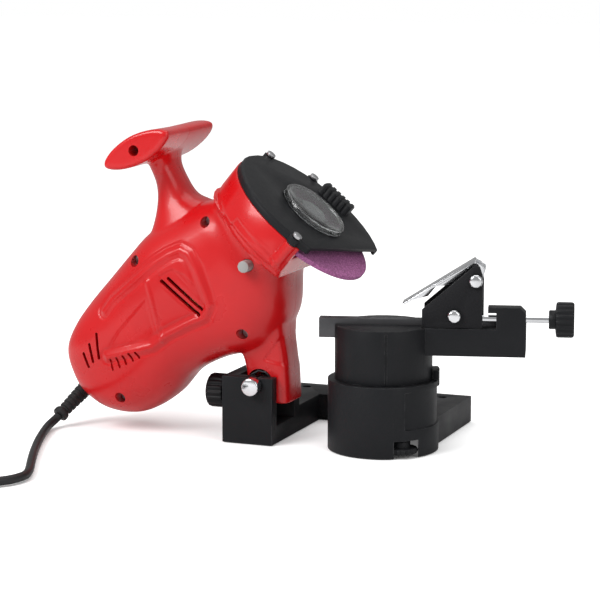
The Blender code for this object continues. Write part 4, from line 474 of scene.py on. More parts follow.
@cache
def tone_group():
    """Uneven tone: a colour that drifts a little lighter and darker, with pale dust on what faces up."""
    tree, start, end = new_group(
        "Uneven tone",
        [("Colour", "NodeSocketColor", (0.5, 0.5, 0.5, 1)), ("Drift", "NodeSocketFloat", 0.12),
         ("Dust", "NodeSocketFloat", 0.02)],
        [("Colour", "NodeSocketColor")],
    )
    place = surface_place(tree)
    broad = noise(tree, place, 14.0, 5.0, 0.6)
    centred = mapped(tree, broad.outputs["Fac"], 0.25, 0.75, -1.0, 1.0)
    value = add_node(tree, "ShaderNodeMath", operation="ADD")
    tree.links.new(product(tree, centred, start.outputs["Drift"]), value.inputs[0])
    value.inputs[1].default_value = 1.0
    shade = tree.nodes.new("ShaderNodeHueSaturation")
    tree.links.new(start.outputs["Colour"], shade.inputs["Color"])
    tree.links.new(value.outputs[0], shade.inputs["Value"])
    facing = tree.nodes.new("ShaderNodeNewGeometry")
    parts = add_node(tree, "ShaderNodeSeparateXYZ", [("Vector", facing.outputs["Normal"])])
    upward = mapped(tree, parts.outputs["Z"], 0.2, 1.0, 0.0, 1.0)
    speck = noise(tree, place, 420.0, 3.0, 0.7)
    specks = mapped(tree, speck.outputs["Fac"], 0.45, 0.75, 0.0, 1.0)
    dust = product(tree, product(tree, upward, specks), start.outputs["Dust"])
    dusty = blended_colour(tree, dust, shade.outputs["Color"], (0.45, 0.42, 0.38))
    tree.links.new(dusty, end.inputs["Colour"])
    return tree


def place_group(tree, group, **values):
    node = tree.nodes.new("ShaderNodeGroup")
    node.node_tree = group
    for label, value in values.items():
        node.inputs[label].default_value = value
    return node


def finish(name, colour, roughness, metallic=0.0, coat=0.0, coat_rough=0.08, grain=900.0, bump=0.04, spread=0.06,
           drift=0.10, dust=0.02, worn=None, wear=0.3, reach=0.0010, shine=0.5):
    """A finished material: uneven tone, worn edges where they show, and a fine grain."""
    material, tree, surface = new_material(name)
    surface.inputs["Metallic"].default_value = metallic
    surface.inputs["Specular IOR Level"].default_value = shine
    surface.inputs["Coat Weight"].default_value = coat
    surface.inputs["Coat Roughness"].default_value = coat_rough
    tone = place_group(tree, tone_group(), Colour=(*colour, 1), Drift=drift, Dust=dust)
    source = tone.outputs["Colour"]
    if worn:
        edges = place_group(tree, worn_edge_group(), Worn=(*worn, 1), Amount=wear, Reach=reach)
        tree.links.new(source, edges.inputs["Colour"])
        source = edges.outputs["Colour"]
    tree.links.new(source, surface.inputs["Base Color"])
    texture = place_group(tree, grain_group(), Scale=grain, Roughness=roughness, Spread=spread)
    tree.links.new(texture.outputs["Roughness"], surface.inputs["Roughness"])
    add_relief(tree, surface, texture.outputs["Height"], bump, 0.0005)
    return material


def brushed_metal(name, colour, roughness, stretch=(1, 1, 30), bump=0.05):
    """Metal with fine drawn lines along one axis."""
    material, tree, surface = new_material(name)
    surface.inputs["Metallic"].default_value = 1.0
    spread = add_node(tree, "ShaderNodeMapping", [("Vector", surface_place(tree))])
    spread.inputs["Scale"].default_value = stretch
    lines = noise(tree, spread.outputs["Vector"], 160.0, 5.0, 0.7)
    blotch = noise(tree, surface_place(tree), 60.0, 4.0, 0.6)
    tree.links.new(mapped(tree, lines.outputs["Fac"], 0.3, 0.7, roughness * 0.75, roughness * 1.35),
                   surface.inputs["Roughness"])
    share = mapped(tree, blotch.outputs["Fac"], 0.35, 0.7, 0.0, 1.0)
    tint = blended_colour(tree, share, colour, tuple(0.82 * c for c in colour))
    tree.links.new(tint, surface.inputs["Base Color"])
    add_relief(tree, surface, lines.outputs["Fac"], bump, 0.0003)
    return material


def abrasive_grit(colour):
    """Bonded abrasive: close grains of two tones, with a coarse bump."""
    material, tree, surface = new_material("bonded_abrasive")
    place = surface_place(tree)
    grains = add_node(tree, "ShaderNodeTexVoronoi", [("Vector", place)])
    grains.inputs["Scale"].default_value = 1500.0
    parts = add_node(tree, "ShaderNodeSeparateColor", [("Color", grains.outputs["Color"])])
    ramp = tree.nodes.new("ShaderNodeValToRGB")
    tree.links.new(parts.outputs["Red"], ramp.inputs["Fac"])
    ramp.color_ramp.elements[0].color = (*(0.62 * c for c in colour), 1)
    ramp.color_ramp.elements[1].color = (*(min(1, 1.35 * c + 0.02) for c in colour), 1)
    middle = ramp.color_ramp.elements.new(0.6)
    middle.color = (*colour, 1)
    broad = noise(tree, place, 45.0, 4.0)
    tint = tree.nodes.new("ShaderNodeHueSaturation")
    tree.links.new(ramp.outputs["Color"], tint.inputs["Color"])
    tree.links.new(mapped(tree, broad.outputs["Fac"], 0.3, 0.7, 0.9, 1.1), tint.inputs["Value"])
    tree.links.new(tint.outputs["Color"], surface.inputs["Base Color"])
    tree.links.new(mapped(tree, broad.outputs["Fac"], 0.3, 0.7, 0.82, 0.95), surface.inputs["Roughness"])
    add_relief(tree, surface, grains.outputs["Distance"], 0.5, 0.0004)
    return material


def clear_plastic():
    """Clear window plastic with a faint haze of fine scratches."""
    material, tree, surface = new_material("clear_window")
    surface.inputs["Transmission Weight"].default_value = 1.0
    surface.inputs["IOR"].default_value = 1.45
    surface.inputs["Metallic"].default_value = 0.0
    scratch = add_node(tree, "ShaderNodeMapping", [("Vector", surface_place(tree))])
    scratch.inputs["Scale"].default_value = (1, 6, 1)
    lines = noise(tree, scratch.outputs["Vector"], 140.0, 6.0, 0.75)
    tree.links.new(mapped(tree, lines.outputs["Fac"], 0.4, 0.75, 0.05, 0.28), surface.inputs["Roughness"])
    share = mapped(tree, lines.outputs["Fac"], 0.3, 0.8, 0.0, 1.0)
    tree.links.new(blended_colour(tree, share, (0.90, 0.92, 0.92), (0.70, 0.72, 0.72)), surface.inputs["Base Color"])
    return material


def make_finishes():
    """Every finish by the record's slot."""
    colours = bpy.context.scene.sharpener_colours
    casting = tuple(colours.casting)
    cable = tuple(colours.cable)
    return {
        "gloss_red": finish("moulded_housing", tuple(colours.housing), 0.30, coat=0.22, coat_rough=0.10, grain=700,
                            bump=0.035, drift=0.10, dust=0.015, worn=(0.75, 0.10, 0.09), wear=0.35, reach=0.0008,
                            shine=0.36),
        "black_casting": finish("painted_casting", casting, 0.50, coat=0.05, coat_rough=0.3, grain=520, bump=0.20,
                                spread=0.10, drift=0.22, dust=0.03, worn=(0.12, 0.12, 0.125), wear=0.5, shine=0.16),
        "textured_black": finish("powder_coat", (0.010, 0.010, 0.0115), 0.62, grain=1300, bump=0.55, spread=0.08,
                                 drift=0.2, dust=0.03, worn=(0.14, 0.14, 0.14), wear=0.4, shine=0.15),
        "black_plastic": finish("moulded_black", (0.009, 0.0095, 0.011), 0.45, grain=900, bump=0.12, drift=0.15,
                                dust=0.03, worn=(0.07, 0.07, 0.075), wear=0.4, shine=0.18),
        "grey_plastic": finish("moulded_grey", (0.32, 0.32, 0.31), 0.45, grain=900, bump=0.1),
        "white_plastic": finish("natural_nylon", (0.72, 0.70, 0.63), 0.5, grain=700, bump=0.08),
        "chrome": brushed_metal("bright_plate", (0.80, 0.81, 0.83), 0.14, (1, 1, 8), 0.02),
        "steel": brushed_metal("plain_steel", (0.52, 0.52, 0.53), 0.32),
        "dark_steel": brushed_metal("blackened_steel", (0.10, 0.10, 0.105), 0.38),
        "abrasive": abrasive_grit(tuple(colours.wheel)),
        "clear": clear_plastic(),
        "copper": brushed_metal("enamelled_copper", (0.72, 0.33, 0.16), 0.33, (1, 40, 1), 0.15),
        "brass": brushed_metal("drawn_brass", (0.75, 0.56, 0.24), 0.25),
        "carbon": finish("pressed_carbon", (0.03, 0.03, 0.03), 0.75, grain=1500, bump=0.2),
        "rubber": finish("cord_rubber", cable, 0.50, grain=1100, bump=0.10, drift=0.15, dust=0.03, shine=0.3),
    }


FINISHES = {}


def painted(obj, slot):
    if not FINISHES:
        FINISHES.update(make_finishes())
    obj.data.materials.clear()
    obj.data.materials.append(FINISHES[slot])
    return obj


def dressed(obj, node, *others):
    """Gives a new piece the slot and the body of the part that it stands for."""
    painted(obj, SLOT_OF[node])
    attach(obj, body_of(node))
    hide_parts(node, *others)
    return obj


def smoothed(obj, angle=35):
    obj.data.shade_smooth()
    obj.data.set_sharp_from_angle(angle=math.radians(angle))
    return obj


def soft_edged(node, width=None, name=None, segments=2, angle=30):
    """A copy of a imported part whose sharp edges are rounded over."""
    width = width or bpy.context.scene.sharpener_sizes.edge
    obj = add_object(name or node + "_finished", frame["nodes"][node].data.copy())
    shape = bmesh.new()
    shape.from_mesh(obj.data)
    bmesh.ops.remove_doubles(shape, verts=shape.verts, dist=0.000004)
    bmesh.ops.dissolve_limit(shape, angle_limit=math.radians(0.6), verts=shape.verts, edges=shape.edges)
    shape.to_mesh(obj.data)
    shape.free()
    step = obj.modifiers.new("edge", "BEVEL")
    step.width = width
    step.segments = segments
    step.limit_method = "ANGLE"
    step.angle_limit = math.radians(angle)
    step.use_clamp_overlap = True
    baked(obj)
    smoothed(obj, 40)
    return dressed(obj, node)


def kept(node):
    """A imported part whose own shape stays, with its finish."""
    return painted(frame["nodes"][node], SLOT_OF[node])


# The moulded housing


def lofted(name, ribs, exponent, steps, parts, inset=0.0):
    """A smooth body through ribs, drawn in by an inset."""
    rings = []
    for ux, uz, lx, lz, half in eased_rows(ribs, parts):
        upper = RIM_REACH * Vector((ux, 0, uz))
        lower = RIM_REACH * Vector((lx, 0, lz))
        along = (upper - lower) / 2
        along -= along.normalized() * inset
        across = Vector((0, RIM_REACH * half - inset, 0))
        rings.append(oval((upper + lower) / 2, along, across, exponent, steps))
    return between_rings(name, rings, HEAD)


def grip_body(name):
    turn = math.radians(GRIP_TILT)
    long_way = Vector((math.cos(turn), 0, math.sin(turn)))
    short_way = Vector((-math.sin(turn), 0, math.cos(turn)))
    length, chord, thick = GRIP_SIZE
    rings = []
    for place, size in GRIP_STATIONS:
        centre = RIM_REACH * Vector((GRIP_CENTRE[0], 0, GRIP_CENTRE[1])) + Vector((0, place * length / 2, 0))
        rings.append(oval(centre, long_way * chord * size, short_way * thick * size, 1.75, 64))
    return between_rings(name, rings, HEAD)


def collar_body(name, inset=0.0, front=COLLAR["front"]):
    """The round housing behind the wheel, cut off where the wheel comes down."""
    radius = COLLAR["radius"] - inset
    back = COLLAR["back"] + inset
    body = turned(name, [(radius - COLLAR["shoulder"], back - COLLAR["shoulder"] + inset), (radius, back),
                         (radius, front)], SPINDLE, 96)
    edge = COLLAR["cut"] - inset
    far = COLLAR_CUT_REACH
    return carved(body, block("collar_cut", (edge, -far, -2 * far), (2 * far, far, far), SPINDLE))


def remeshed(obj, voxel, rounds):
    """One even skin over joined bodies, with its joints softened."""
    step = obj.modifiers.new("skin", "REMESH")
    step.mode = "VOXEL"
    step.voxel_size = voxel
    if rounds:
        ease = obj.modifiers.new("ease", "SMOOTH")
        ease.factor = 0.5
        ease.iterations = rounds
    return baked(obj)


def line_distance(points, line):
    """The distance of each (x, z) point from a line of shares off the hinge."""
    line = [RIM_REACH * np.array(p) for p in line]
    least = np.full(len(points), 1.0)
    for a, b in zip(line, line[1:]):
        way = b - a
        t = np.clip(((points - a) @ way) / (way @ way), 0, 1)
        least = np.minimum(least, np.linalg.norm(points - (a + t[:, None] * way), axis=1))
    return least


def inside_patch(points, patch):
    """Signed distance into a closed patch: positive inside."""
    corners = [RIM_REACH * np.array(p) for p in patch]
    inside = np.zeros(len(points), bool)
    for (ax, az), (bx, bz) in zip(corners, corners[1:] + corners[:1]):
        crosses = (az > points[:, 1]) != (bz > points[:, 1])
        at = (bx - ax) * (points[:, 1] - az) / (bz - az + 1e-12) + ax
        inside ^= crosses & (points[:, 0] < at)
    away = line_distance(points, list(patch) + [patch[0]])
    return np.where(inside, away, -away)


def soft_step(values, low, high):
    t = np.clip((values - low) / (high - low), 0, 1)
    return t * t * (3 - 2 * t)


def mould_relief(obj):
    """Raises the ridges and sinks the panels on both sides of the housing."""
    sizes = bpy.context.scene.sharpener_sizes
    mesh = obj.data
    count = len(mesh.vertices)
    co = np.empty(count * 3, np.float32)
    mesh.vertices.foreach_get("co", co)
    co = co.reshape(-1, 3).astype(float)
    normals = np.empty(count * 3, np.float32)
    mesh.vertex_normals.foreach_get("vector", normals)
    normals = normals.reshape(-1, 3).astype(float)
    flat = co[:, [0, 2]] - np.array([HINGE.x, HINGE.z])
    facing = soft_step(np.abs(normals[:, 1]), 0.15, 0.45)
    lift = np.zeros(count)
    arch = line_distance(flat, ARCH_LINE)
    lift += sizes.ridge * (1 - soft_step(arch, 0.0008, 0.0030))
    lift -= 0.55 * sizes.ridge * (1 - soft_step(np.abs(arch - 0.0048), 0.0004, 0.0016))
    lift += 0.7 * sizes.ridge * (1 - soft_step(line_distance(flat, CREASE_LINE), 0.0004, 0.0020))
    lift += 1.1 * sizes.ridge * (1 - soft_step(line_distance(flat, COLLAR_RIDGE), 0.0006, 0.0022))
    leaf = inside_patch(flat, LEAF_PATCH)
    lift -= 0.9 * sizes.recess * soft_step(leaf, -0.0002, 0.0012)
    ribs = np.sin(2 * np.pi * ((flat[:, 0] * 0.66 + flat[:, 1] * 0.75) / 0.0032))
    above = soft_step(flat[:, 0] * 0.62 + flat[:, 1] * 0.78 - 0.0238, 0.0, 0.002)
    lift += 0.30 * sizes.recess * ribs * soft_step(leaf, 0.001, 0.002) * above
    lift -= 0.6 * sizes.recess * soft_step(inside_patch(flat, LOW_PANEL), 0.0, 0.0022)
    lift -= sizes.recess * soft_step(inside_patch(flat, NAME_PANEL), 0.0, 0.0012)
    lift -= 0.8 * sizes.recess * soft_step(inside_patch(flat, LEG_PATCH), 0.0, 0.0016)
    co += normals * (lift * facing)[:, None]
    mesh.vertices.foreach_set("co", co.astype(np.float32).ravel())
    mesh.update()


def slot_cutters(rows, width, inner, outer, round_steps=12):
    """Round-ended slots through both sides of the housing."""
    tools = []
    for ux, uz, lx, lz in rows:
        start, end = head_point((ux, uz)), head_point((lx, lz))
        way = end - start
        turn = math.atan2(way.z, way.x)
        half = way.length / 2
        outline = []
        for k in range(2 * round_steps):
            a = math.pi * (k + 0.5) / round_steps - math.pi / 2
            side = half if math.cos(a) > 0 else -half
            x = side + width / 2 * math.cos(a)
            z = width / 2 * math.sin(a)
            outline.append((x * math.cos(turn) - z * math.sin(turn), x * math.sin(turn) + z * math.cos(turn)))
        middle = (start + end) / 2
        for sign in (-1, 1):
            near, far = sorted((sign * inner, sign * outer))
            rings = [[(middle.x + x, HINGE.y + y, middle.z + z) for x, z in outline] for y in (near, far)]
            tools.append(between_rings("slot", rings))
    return tools


def along_y(shares):
    return axis_place(head_point(shares), (0, 1, 0))


def lug_place(angle):
    turn = math.radians(angle)
    return SPINDLE @ Matrix.Translation(Vector((math.cos(turn), math.sin(turn), 0)) * LUG_REACH)


def collar_rim():
    """The ring and the screw lugs that stand in front of the collar, round the back of the wheel."""
    root = COLLAR["front"] - 0.002
    edge = 0.0006
    outer = COLLAR["radius"]
    rim = turned("rim", [
        (RIM_INNER, root), (outer, root), (outer, RIM_FRONT - edge), (outer - edge * 0.3, RIM_FRONT - edge * 0.3),
        (outer - edge, RIM_FRONT), (RIM_INNER + edge, RIM_FRONT), (RIM_INNER, RIM_FRONT - edge),
    ], SPINDLE, 128, closed=True)
    far = COLLAR_CUT_REACH
    carved(rim, block("rim_cut", (COLLAR["cut"], -far, -far), (far, far, far), SPINDLE))
    for angle in LUG_ANGLES:
        carved(rim, turned("lug", [(LUG_RADIUS, root), (LUG_RADIUS, RIM_FRONT - edge),
                                   (LUG_RADIUS - edge, RIM_FRONT)], lug_place(angle), 32), "UNION")
    return rim


def relief_place():
    return axis_place(head_point(RELIEF_PLACE), RELIEF_WAY)


def housing_cavity():
    """The hollow of the two shells, less the bosses that stand in it."""
    hollow = lofted("hollow", BARREL_RIBS[1:], 2.7, 64, 5, CAVITY_INSET)
    carved(hollow, collar_body("collar_hollow", WALL, COLLAR["front"] + 0.002), "UNION")
    carved(hollow, lofted("neck_hollow", NECK_RIBS, 2.4, 48, 5, CAVITY_INSET), "UNION")
    for shares in SCREW_PLACES:
        carved(hollow, turned("boss", [(0.0056, -OUTSIDE), (0.0056, OUTSIDE)], along_y(shares), 32))
    return hollow


def housing_cutters():
    """Everything that is cut through the skin from outside."""
    tools = slot_cutters(LONG_VENTS, 0.0024, 0.012, OUTSIDE)
    tools += slot_cutters(REAR_VENTS, 0.0022, 0.012, OUTSIDE)
    for shares in SCREW_PLACES:
        tools.append(turned("recess", [(0.0038, -OUTSIDE), (0.0038, -0.018)], along_y(shares), 32))
        tools.append(turned("shank", [(0.0020, -0.020), (0.0020, 0.018)], along_y(shares), 24))
    for angle in LUG_ANGLES:
        tools.append(turned("screw_hole", [(0.0017, -0.0125), (0.0017, 0.011)], lug_place(angle), 24))
    hinge = axis_place(HINGE, (0, 1, 0))
    tools.append(turned("bolt_hole", [(0.0053, -OUTSIDE), (0.0053, OUTSIDE)], hinge, 48))
    tools.append(block("pocket", (-0.016, -OUTSIDE, -OUTSIDE), (0.0095, -0.0065, 0), HEAD))
    tools.append(turned("spring_room", [(0.00975, -OUTSIDE), (0.00975, -0.0065)], hinge, 48))
    tools.append(turned("relief_hole", [(0.0063, -0.0043), (0.0063, RELIEF_LENGTH)], relief_place(), 48))
    button = axis_place(SPINDLE @ Vector(BUTTON_PLACE), (0, 1, 0))
    tools.append(turned("button_hole", [(0.0045, -OUTSIDE), (0.0045, -0.026)], button, 48))
    tools.append(turned("button_room", [(0.0059, -0.0283), (0.0059, 0)], button, 48))
    switch = Matrix.Translation(head_point(SWITCH_PLACE))
    tools.append(block("switch_hole", (-0.0069, 0.0192, -0.0099), (0.0069, OUTSIDE, 0.0099), switch))
    tools.append(block("bezel_room", (-0.0091, 0.0365, -0.0121), (0.0091, OUTSIDE, 0.0121), switch))
    return tools


def housing_halves():
    """Both shells of the housing as one smooth moulding, parted along the middle."""
    sizes = bpy.context.scene.sharpener_sizes
    voxel = sizes.voxel * 1
    whole = lofted("housing", BARREL_RIBS, 2.7, 96, 8)
    for part in (
        collar_body("collar"),
        lofted("neck", NECK_RIBS, 2.4, 64, 8),
        grip_body("grip"),
        lofted("leg", LEG_RIBS, 5.0, 64, 8),
    ):
        carved(whole, part, "UNION")
    for angle in LUG_ANGLES:
        stations = [(LUG_RADIUS, COLLAR["back"]), (LUG_RADIUS, COLLAR["front"] - 0.0003)]
        carved(whole, turned("lug", stations, lug_place(angle), 32), "UNION")
    remeshed(whole, voxel, max(2, sizes.softening // (1)))
    mould_relief(whole)
    carved(whole, collar_rim(), "UNION")
    carved(whole, housing_cavity())
    for tool in housing_cutters() + slot_cutters(LOW_VENTS, 0.0019, 0.0342, OUTSIDE):
        carved(whole, tool)
    twin = add_object("housing_twin", whole.data.copy())
    reach = 0.4
    gap = 0.00015
    y = HINGE.y
    carved(whole, block("half", (-reach, y - gap, -reach), (reach, reach, reach)))
    carved(twin, block("half", (-reach, -reach, -reach), (reach, y + gap, reach)))
    for shell, node in ((whole, "head_shell_front"), (twin, "head_shell_rear")):
        shell.name = node.replace("head_shell", "housing")
        smoothed(shell, 38)
        dressed(shell, node)


# The cord and its strain relief


def even_line(points, spacing):
    """Points at even spacing along a line."""
    total = sum((q - p).length for p, q in zip(points, points[1:]))
    count = max(2, round(total / spacing))
    out = [points[0]]
    walked = 0.0
    wanted = total / count
    for p, q in zip(points, points[1:]):
        step = (q - p).length
        while walked + step >= wanted * len(out) and len(out) < count:
            out.append(p.lerp(q, (wanted * len(out) - walked) / step))
        walked += step
    out.append(points[-1])
    return out


def cord_points():
    """The cord's centre line: along the floor, wound in and out again in two layers, and a straight end."""
    tip = relief_place() @ Vector((0, 0, RELIEF_LENGTH + 0.0003))
    route = [tip] + [Vector(p) + TURNTABLE for p in CORD_ROUTE]
    route.append(Vector((COIL_CENTRE.x + 0.0015, -0.2031, CORD_HEIGHT)) + TURNTABLE)
    lead = [Vector(row) for row in eased_rows([tuple(p) for p in route], 12)]
    lead = even_line(lead, CORD_STEP)
    lead[0] = tip + RELIEF_WAY * 0.00015
    lead.insert(1, tip + RELIEF_WAY * 0.0015)
    inner = COIL_RADIUS - COIL_TURNS * COIL_PITCH / 2
    points = []
    for k in range(round(2 * COIL_TURNS * COIL_STEPS) + 1):
        turn = k / COIL_STEPS
        radius = inner + abs(turn - COIL_TURNS) * COIL_PITCH
        climb = min(1, max(0, (turn - COIL_TURNS + 0.25) / 0.5))
        height = CORD_HEIGHT + COIL_PITCH * (3 * climb ** 2 - 2 * climb ** 3)
        a = math.pi / 2 + 2 * math.pi * turn
        points.append(COIL_CENTRE + TURNTABLE + Vector((radius * math.cos(a), radius * math.sin(a), height)))
    way = (points[-1] - points[-2]).normalized()
    tail = [points[-1] + way * CORD_END * share for share in (0.35, 0.7, 1.0)]
    return tip, lead + points + tail


def cord_piece():
    """The cord as one tube, which follows the head at its exit and the base where it lies."""
    tip, points = cord_points()
    line = bpy.data.curves.new("cord_line", "CURVE")
    line.dimensions = "3D"
    line.bevel_depth = CORD_RADIUS
    line.bevel_resolution = 4
    line.use_fill_caps = True
    spline = line.splines.new("POLY")
    spline.points.add(len(points) - 1)
    for point, place in zip(spline.points, points):
        point.co = (*place, 1)
    drawn = add_object("cord_line", line)
    bpy.context.view_layer.update()
    tube = bpy.data.meshes.new_from_object(drawn.evaluated_get(bpy.context.evaluated_depsgraph_get()))
    bpy.data.objects.remove(drawn, do_unlink=True)
    cord = add_object("mains_cord", tube)
    painted(cord, "rubber")
    tube.shade_smooth()
    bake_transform(cord, body_of("strain_relief"), body_of("cord_lead"), start=tip,
             end=Vector(CORD_ROUTE[CORD_LIES_FROM]) + TURNTABLE)
    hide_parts("cord_lead", "cord_coil")


def relief_piece():
    """The strain relief: a ribbed tapering boot."""
    profile = [(0.0080, -0.0070), (0.0080, -0.0043), (0.0060, -0.0040)]
    for k in range(7):
        start = 0.0015 + k * 0.0040
        r = 0.0060 - 0.0014 * (k + 0.2) / 7
        profile += [(r, start), (r, start + 0.0022), (r - 0.0008, start + 0.0026), (r - 0.0008, start + 0.0036)]
    profile += [(0.0050, 0.0300), (0.0054, 0.0308), (0.0056, 0.0316), (0.0056, 0.0338), (0.0050, RELIEF_LENGTH)]
    boot = turned("cord_boot", profile, relief_place(), 48)
    smoothed(boot, 35)
    dressed(boot, "strain_relief")


# Base, vise, stop and knobs


def knob_piece(node, way, radius, length, hub_radius=0.0064, hub=0.0045, lobes=18):
    """A moulded knob with close flutes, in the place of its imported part."""
    way = Vector(way).normalized()
    packed = frame["nodes"][node]
    points = [packed.matrix_world @ vertex.co for vertex in packed.data.vertices]
    centre = sum(points, Vector()) / len(points)
    start = min((point - centre).dot(way) for point in points)
    total = hub + length
    place = axis_place(centre + way * start, way)
    steps = lobes * 12
    chamfer = 0.0011
    stations = [
        (hub_radius - 0.0006, 0, 0), (hub_radius, 0.0006, 0), (hub_radius, hub - 0.0002, 0),
        (radius - 2 * chamfer, hub + 0.0002, 0), (radius - chamfer * 0.5, hub + chamfer * 0.5, 0.5),
        (radius, hub + chamfer * 1.6, 1), (radius, total - chamfer * 1.6, 1),
        (radius - chamfer * 0.35, total - chamfer * 0.5, 0.6), (radius - chamfer * 1.3, total, 0),
        (radius * 0.66, total - 0.0001, 0), (radius * 0.62, total - 0.0011, 0), (0.0035, total - 0.0013, 0),
    ]
    rings = []
    for r, height, share in stations:
        ring = []
        for k in range(steps):
            a = 2 * math.pi * k / steps
            flute = 0.0010 * share * (0.5 - 0.5 * math.cos(lobes * a)) ** 1.5
            ring.append(((r - flute) * math.cos(a), (r - flute) * math.sin(a), height))
        rings.append(ring)
    knob = between_rings(node + "_finished", rings, place)
    smoothed(knob, 50)
    return dressed(knob, node)


class SHARPENER_OT_stage(bpy.types.Operator):
    """Sets the floor, the lights and the camera at the photograph's view"""

    bl_idname = "sharpener.stage"
    bl_label = "Stage"

    def execute(self, context):
        light = context.scene.sharpener_light
        floor = between_rings("floor", [
            [(-6, -6, z), (6, -6, z), (6, 6, z), (-6, 6, z)] for z in (-0.0106, -0.0006)
        ])
        floor.data.materials.append(floor_finish())
        world = bpy.data.worlds.new("studio")
        context.scene.world = world
        world.use_nodes = True
        tree = world.node_tree
        tree.nodes.clear()
        seen = add_node(tree, "ShaderNodeBackground", Color=WHITE)
        lit = add_node(tree, "ShaderNodeBackground", Color=WHITE, Strength=light.sky)
        mixed_for_camera(tree, lit.outputs[0], seen.outputs[0], tree.nodes.new("ShaderNodeOutputWorld"))
        aim = Vector((-0.02, 0.0, 0.09))
        for name, place, size, power in (
            ("key", (-0.75, -1.15, 1.15), 0.9, light.key),
            ("fill", (1.25, -0.70, 0.75), 1.1, light.fill),
            ("top", (0.10, 0.35, 1.50), 1.2, light.fill),
        ):
            lamp = bpy.data.lights.new(name, "AREA")
            lamp.shape = "SQUARE"
            lamp.size = size
            lamp.energy = power
            obj = bpy.data.objects.new(name, lamp)
            context.scene.collection.objects.link(obj)
            obj.location = place
            obj.rotation_euler = (aim - Vector(place)).to_track_quat("-Z", "Y").to_euler()
        camera = bpy.data.cameras.new("view")
        camera.lens = 138
        camera.sensor_width = 36
        camera.clip_start = 0.05
        camera.clip_end = 30
        obj = bpy.data.objects.new("view", camera)
        context.scene.collection.objects.link(obj)
        obj.location = Vector((0.512413, -1.4563, 0.3603)) + TURNTABLE
        target = Vector((-0.0613, 0, 0.0984)) + TURNTABLE
        obj.rotation_euler = (target - obj.location).to_track_quat("-Z", "Y").to_euler()
        context.scene.camera = obj
        context.scene.view_settings.view_transform = "Standard"
        return {"FINISHED"}


def floor_finish():
    """A pale floor that shows white to the camera and keeps the shadow; its white glow is dimmed by ambient
    occlusion, which paints shade near and under the object.
    """
    material, tree, surface = new_material("pale_floor")
    surface.inputs["Base Color"].default_value = (0.86, 0.86, 0.86, 1)
    surface.inputs["Roughness"].default_value = 0.9
    # Painted shade: ambient occlusion dims the floor's white glow where the object crowds it, so the floor darkens
    # under and beside the object.
    painted_shade_occlusion = add_node(tree, "ShaderNodeAmbientOcclusion", Distance=0.05)
    strength = mapped(tree, painted_shade_occlusion.outputs["AO"], 0.0, 1.0, 0.0, 0.68)
    glow = add_node(tree, "ShaderNodeEmission", [("Strength", strength)], Color=WHITE)
    both = tree.nodes.new("ShaderNodeAddShader")
    tree.links.new(surface.outputs[0], both.inputs[0])
    tree.links.new(glow.outputs[0], both.inputs[1])
    mixed_for_camera(tree, surface.outputs[0], both.outputs[0], tree.nodes["Material Output"])
    return material


class SHARPENER_OT_cord(bpy.types.Operator):
    """Lays the mains cord, its boot, tie and plug"""

    bl_idname = "sharpener.cord"
    bl_label = "Cord"

    def execute(self, context):
        cord_piece()
        relief_piece()
        for node in ("cord_tie", "plug_body", "plug_blades"):
            kept(node)
        return {"FINISHED"}


class SHARPENER_OT_housing(bpy.types.Operator):
    """Moulds both shells of the red housing"""

    bl_idname = "sharpener.housing"
    bl_label = "Housing"

    def execute(self, context):
        housing_halves()
        for name in ("grip", "neck", "back", "waist", "tail"):
            kept("shell_screw_" + name)
        soft_edged("spindle_lock_button", 0.0005)
        soft_edged("switch_rocker", 0.0005)
        soft_edged("switch_body", 0.0004)
        return {"FINISHED"}


class SHARPENER_OT_guard(bpy.types.Operator):
    """Finishes the wheel guard, its window and its screws"""

    bl_idname = "sharpener.guard"
    bl_label = "Guard"

    def execute(self, context):
        soft_edged("guard_cover", 0.0006)
        window = turned("clear_window", [
            (0.0211, 0.00975), (0.0212, 0.0113), (0.0240, 0.0113), (0.0245, 0.0117), (0.0245, 0.0148),
            (0.0242, 0.0154), (0.0236, 0.0157), (0.0212, 0.0163), (0.0150, 0.0165),
        ], SPINDLE, 96)
        smoothed(window, 40)
        dressed(window, "guard_window")
        for name in ("top", "front", "back"):
            soft_edged("guard_screw_" + name, 0.0004)
        return {"FINISHED"}


class SHARPENER_OT_wheel(bpy.types.Operator):
    """Finishes the grinding wheel and what clamps it"""

    bl_idname = "sharpener.wheel"
    bl_label = "Wheel"

    def execute(self, context):
        half = WHEEL_HALF
        wheel = turned("abrasive_wheel", [
            (0.0118, -half), (0.0537, -half), (0.0540, -half + 0.0004), (0.0540, half - 0.0004), (0.0537, half),
            (0.0118, half),
        ], SPINDLE, 128, closed=True)
        smoothed(wheel, 50)
        dressed(wheel, "grinding_wheel")
        for node in ("spindle", "wheel_flange", "spindle_nut", "driven_gear", "front_plate", "bearing_plate",
                     "spindle_bearing_front", "spindle_bearing_rear"):
            kept(node)
        return {"FINISHED"}


class SHARPENER_OT_motor(bpy.types.Operator):
    """Finishes the motor inside the housing"""

    bl_idname = "sharpener.motor"
    bl_label = "Motor"

    def execute(self, context):
        for node in ("armature_shaft", "drive_pinion", "armature_core", "cooling_fan", "stator_core",
                     "field_winding", "brush_yoke", "carbon_brush_front", "carbon_brush_rear",
                     "motor_bearing_front", "motor_bearing_rear"):
            kept(node)
        return {"FINISHED"}


class SHARPENER_OT_base(bpy.types.Operator):
    """Finishes the base casting, the hinge and its spring"""

    bl_idname = "sharpener.base"
    bl_label = "Base"

    def execute(self, context):
        soft_edged("base_casting")
        for node in ("hinge_bolt", "hinge_nut", "pivot_bolt"):
            soft_edged(node, 0.0005)
        for node in ("return_spring", "depth_screw", "lock_screw"):
            kept(node)
        knob_piece("depth_knob", (-1, 0, 0), 0.012, 0.0125)
        knob_piece("lock_knob", (0, 0, -1), 0.0115, 0.0043)
        return {"FINISHED"}


